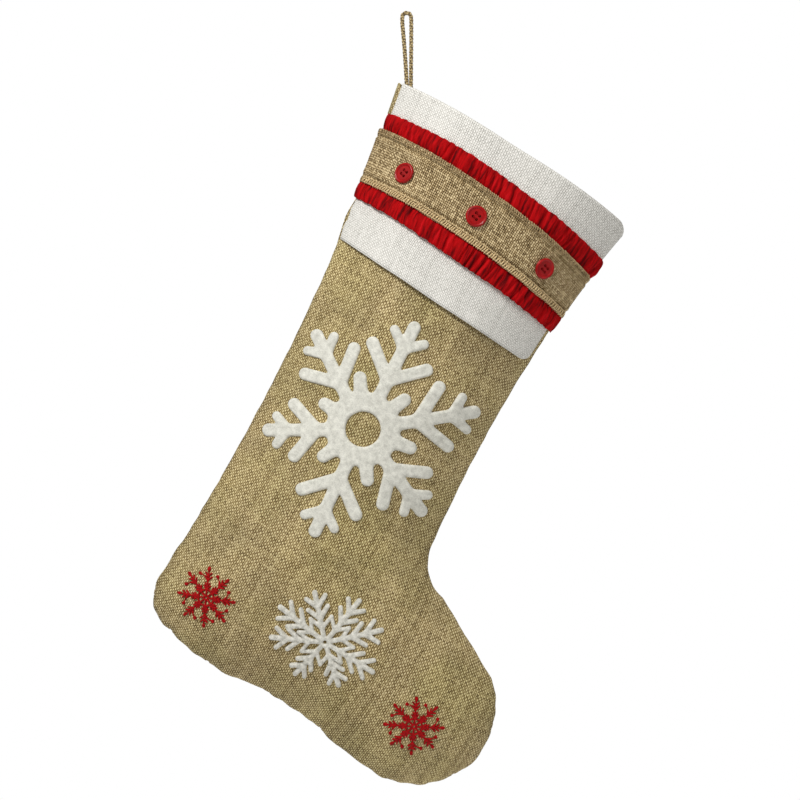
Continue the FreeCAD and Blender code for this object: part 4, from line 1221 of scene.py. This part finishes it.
def red_depth(first_arm):
    """The depth function of an embroidered snowflake, with a pinhole in its middle."""
    bars = red_bars(first_arm)

    def depth(x, y):
        return np.minimum(bar_depth(x, y, bars, 0.12), np.hypot(x, y) - 0.8)
    return depth


# ---------------------------------------------------------------- hanging cord
# The cord's route in mm: up from the leg's corner, round the hook and down again.
CORD_ROUTE = [(0.10, -50.8), (-0.45, -40.0), (-1.95, -18.0), (-3.35, -4.0), (-3.30, 1.60), (-1.45, 3.42),
              (1.45, 3.42), (3.35, 1.55), (3.50, -4.0), (3.45, -18.0), (3.25, -40.0), (3.20, -50.8)]
TAIL_ROUTES = [[(x, z) for z in (-50.6, -56.0, -62.0, -68.0)] for x in (0.10, 3.20)]
# The plait: one turn's length, its strands' thickness, and how far they wander sideways and in depth.
PLAIT_PITCH, STRAND_SIZE, PLAIT_WIDTH, PLAIT_DEPTH = 8.4, 0.76, 0.90, 0.46


def spline_points(name, route):
    """Points read from the NURBS spline that has the route's points as its control points."""
    data = bpy.data.curves.new(name, "CURVE")
    data.dimensions = "3D"
    data.resolution_u = 12
    spline = data.splines.new("NURBS")
    spline.points.add(len(route) - 1)
    for point, (x, z) in zip(spline.points, route):
        point.co = (x * MM, 0.0, z * MM, 1.0)
    spline.order_u = 3
    spline.use_endpoint_u = True
    holder = bpy.data.objects.new(name, data)
    mesh = bpy.data.meshes.new_from_object(holder)
    points = np.array([tuple(v.co) for v in mesh.vertices])
    bpy.data.objects.remove(holder)
    bpy.data.curves.remove(data)
    bpy.data.meshes.remove(mesh)
    return points


def braid(points):
    """Three thin strands plaited round a line in the XZ plane."""
    run = run_lengths(points)
    fine = np.concatenate([np.arange(0.0, run[-1], 0.35 * MM), run[-1:]])
    line = np.stack([np.interp(fine, run, points[:, axis]) for axis in range(3)], 1)
    depthwise = np.array([0.0, 1.0, 0.0])
    outward = np.cross(headings(line), depthwise)
    strands = []
    for k in range(3):
        phase = TURN * (fine / MM / PLAIT_PITCH + k / 3.0)[:, None]
        offset = outward * PLAIT_WIDTH * np.sin(phase) + depthwise * PLAIT_DEPTH * np.sin(2.0 * phase)
        strands.append(tube(line + offset * MM, STRAND_SIZE * MM, 9, taper=False))
    return strands


def make_cord(material):
    """The loop of plaited jute, and its two ends sewn into the leg's corner."""
    points = spline_points("loop_route", CORD_ROUTE)
    loop = joined("cord_loop", braid(points), material)
    tails = [strand for route in TAIL_ROUTES for strand in braid(spline_points("tail_route", route))]
    tail = joined("cord_tails", tails, material)
    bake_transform(loop)
    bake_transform(tail)
    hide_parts("hanging_loop", "loop_neck")
    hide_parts("loop_tails")


# ---------------------------------------------------------------- build
make_stage()
MATERIALS = make_materials()
make_cord(MATERIALS["jute"])
front_panel, back_panel = [
    sew(panel(f"{label}_panel_cloth", outer, side, MATERIALS["burlap"]), "burlap", f"{label}_panel")
    for label, outer, side in (("front", FRONT, 1), ("back", BACK, -1))]
for side, label, depth in ((1, "front", 35.0), (-1, "back", 23.0)):
    cloth = lining(f"{label}_lining_cloth", lining_skin(depth, LINING_SEED + side), side, MATERIALS["lining"])
    sew(cloth, "lining_cloth", f"{label}_lining")
cuff = sew(cuff_strip("cuff_cloth", FRONT, lambda x: line_height(CUFF_EDGE, x), MATERIALS["linen"]),
           "white_linen", "cuff")
hem = sew(cuff_strip("back_hem_cloth", BACK, lambda x: mouth_height(x) - HEM_DROP, MATERIALS["burlap"], -1),
          "burlap")
hem_thread = sew(hem_stitches("back_hem_stitches", HEM_DROP - 3.2, MATERIALS["tan_thread"]),
                 "natural_thread", "back_hem_stitching")
ruffle_upper, ruffle_lower = [
    sew(ruffle(f"{node}_cloth", held, free, seed, inset, lift, MATERIALS["red"]), "red_fabric", node)
    for node, held, free, seed, inset, lift in (
        ("ruffle_upper", BAND_TOP, RUFFLE_TOP, 3, (2.6, 0.0), 0.3),
        ("ruffle_lower", BAND_BOTTOM, RUFFLE_BOTTOM, 8, (0.6, 0.6), 1.9))]
band = sew(burlap_band("band_cloth", MATERIALS["band"]), "burlap", "burlap_band")
stitches_upper, stitches_lower = [
    sew(band_stitches(f"band_stitches_{label}", line, inward, seed, heavy, reach, MATERIALS[thread]),
        "natural_thread", f"band_stitching_{label}")
    for label, line, inward, seed, heavy, reach, thread in (
        ("upper", BAND_TOP, -1.0, 5, 1.0, 2.9, "tan_thread"),
        ("lower", BAND_BOTTOM, 1.0, 6, 1.35, 3.9, "cream_thread"))]

# Each snowflake's piece, CAD node and slot; then centre, depth, reach, mesh step, thickness,
# rounded edge, its face's roughness (size, seed, shortest, longest) and finish.
SNOWFLAKES = [
    ("felt_snowflake_cloth", "felt_snowflake", "white_felt",
     FELT_CENTRE, felt_depth, 92.0, 1.7, 2.1, 1.9, (0.16, 41, 4.0, 11.0), "felt"),
    ("small_snowflake_cloth", "small_snowflake", "white_felt",
     PUFFY_CENTRE, puffy_depth, 48.0, 0.8, 2.2, 1.6, (0.22, 43, 1.8, 5.0), "puffy"),
    ("red_embroidery_heel", "red_snowflake_heel", "red_thread",
     HEEL_CENTRE, red_depth(25.6), 24.2, 0.45, 1.25, 0.65, (0.10, 47, 0.7, 2.0), "red_thread"),
    ("red_embroidery_toe", "red_snowflake_toe", "red_thread",
     TOE_CENTRE, red_depth(27.0), 24.2, 0.45, 1.25, 0.65, (0.10, 47, 0.7, 2.0), "red_thread"),
]
snowflakes = [sew(applique(name, *sizes, MATERIALS[finish]), slot, node)
              for name, node, slot, *sizes, finish in SNOWFLAKES]


def dress_cad(node, material):
    """Gives a CAD node that stays in view its finish."""
    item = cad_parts[node]
    item.data.materials.clear()
    item.data.materials.append(material)
    item.data.polygons.foreach_set("use_smooth", [True] * len(item.data.polygons))


CAD_FINISHES = {"seam_allowance": "burlap_inside", "seam_stitching": "cream_plain",
                "loop_bar_tack": "cream_plain"}
for place in ("left", "middle", "right"):
    CAD_FINISHES[f"button_{place}"] = "button"
    CAD_FINISHES[f"button_thread_{place}"] = "red_sewing"
for node, finish in CAD_FINISHES.items():
    dress_cad(node, MATERIALS[finish])
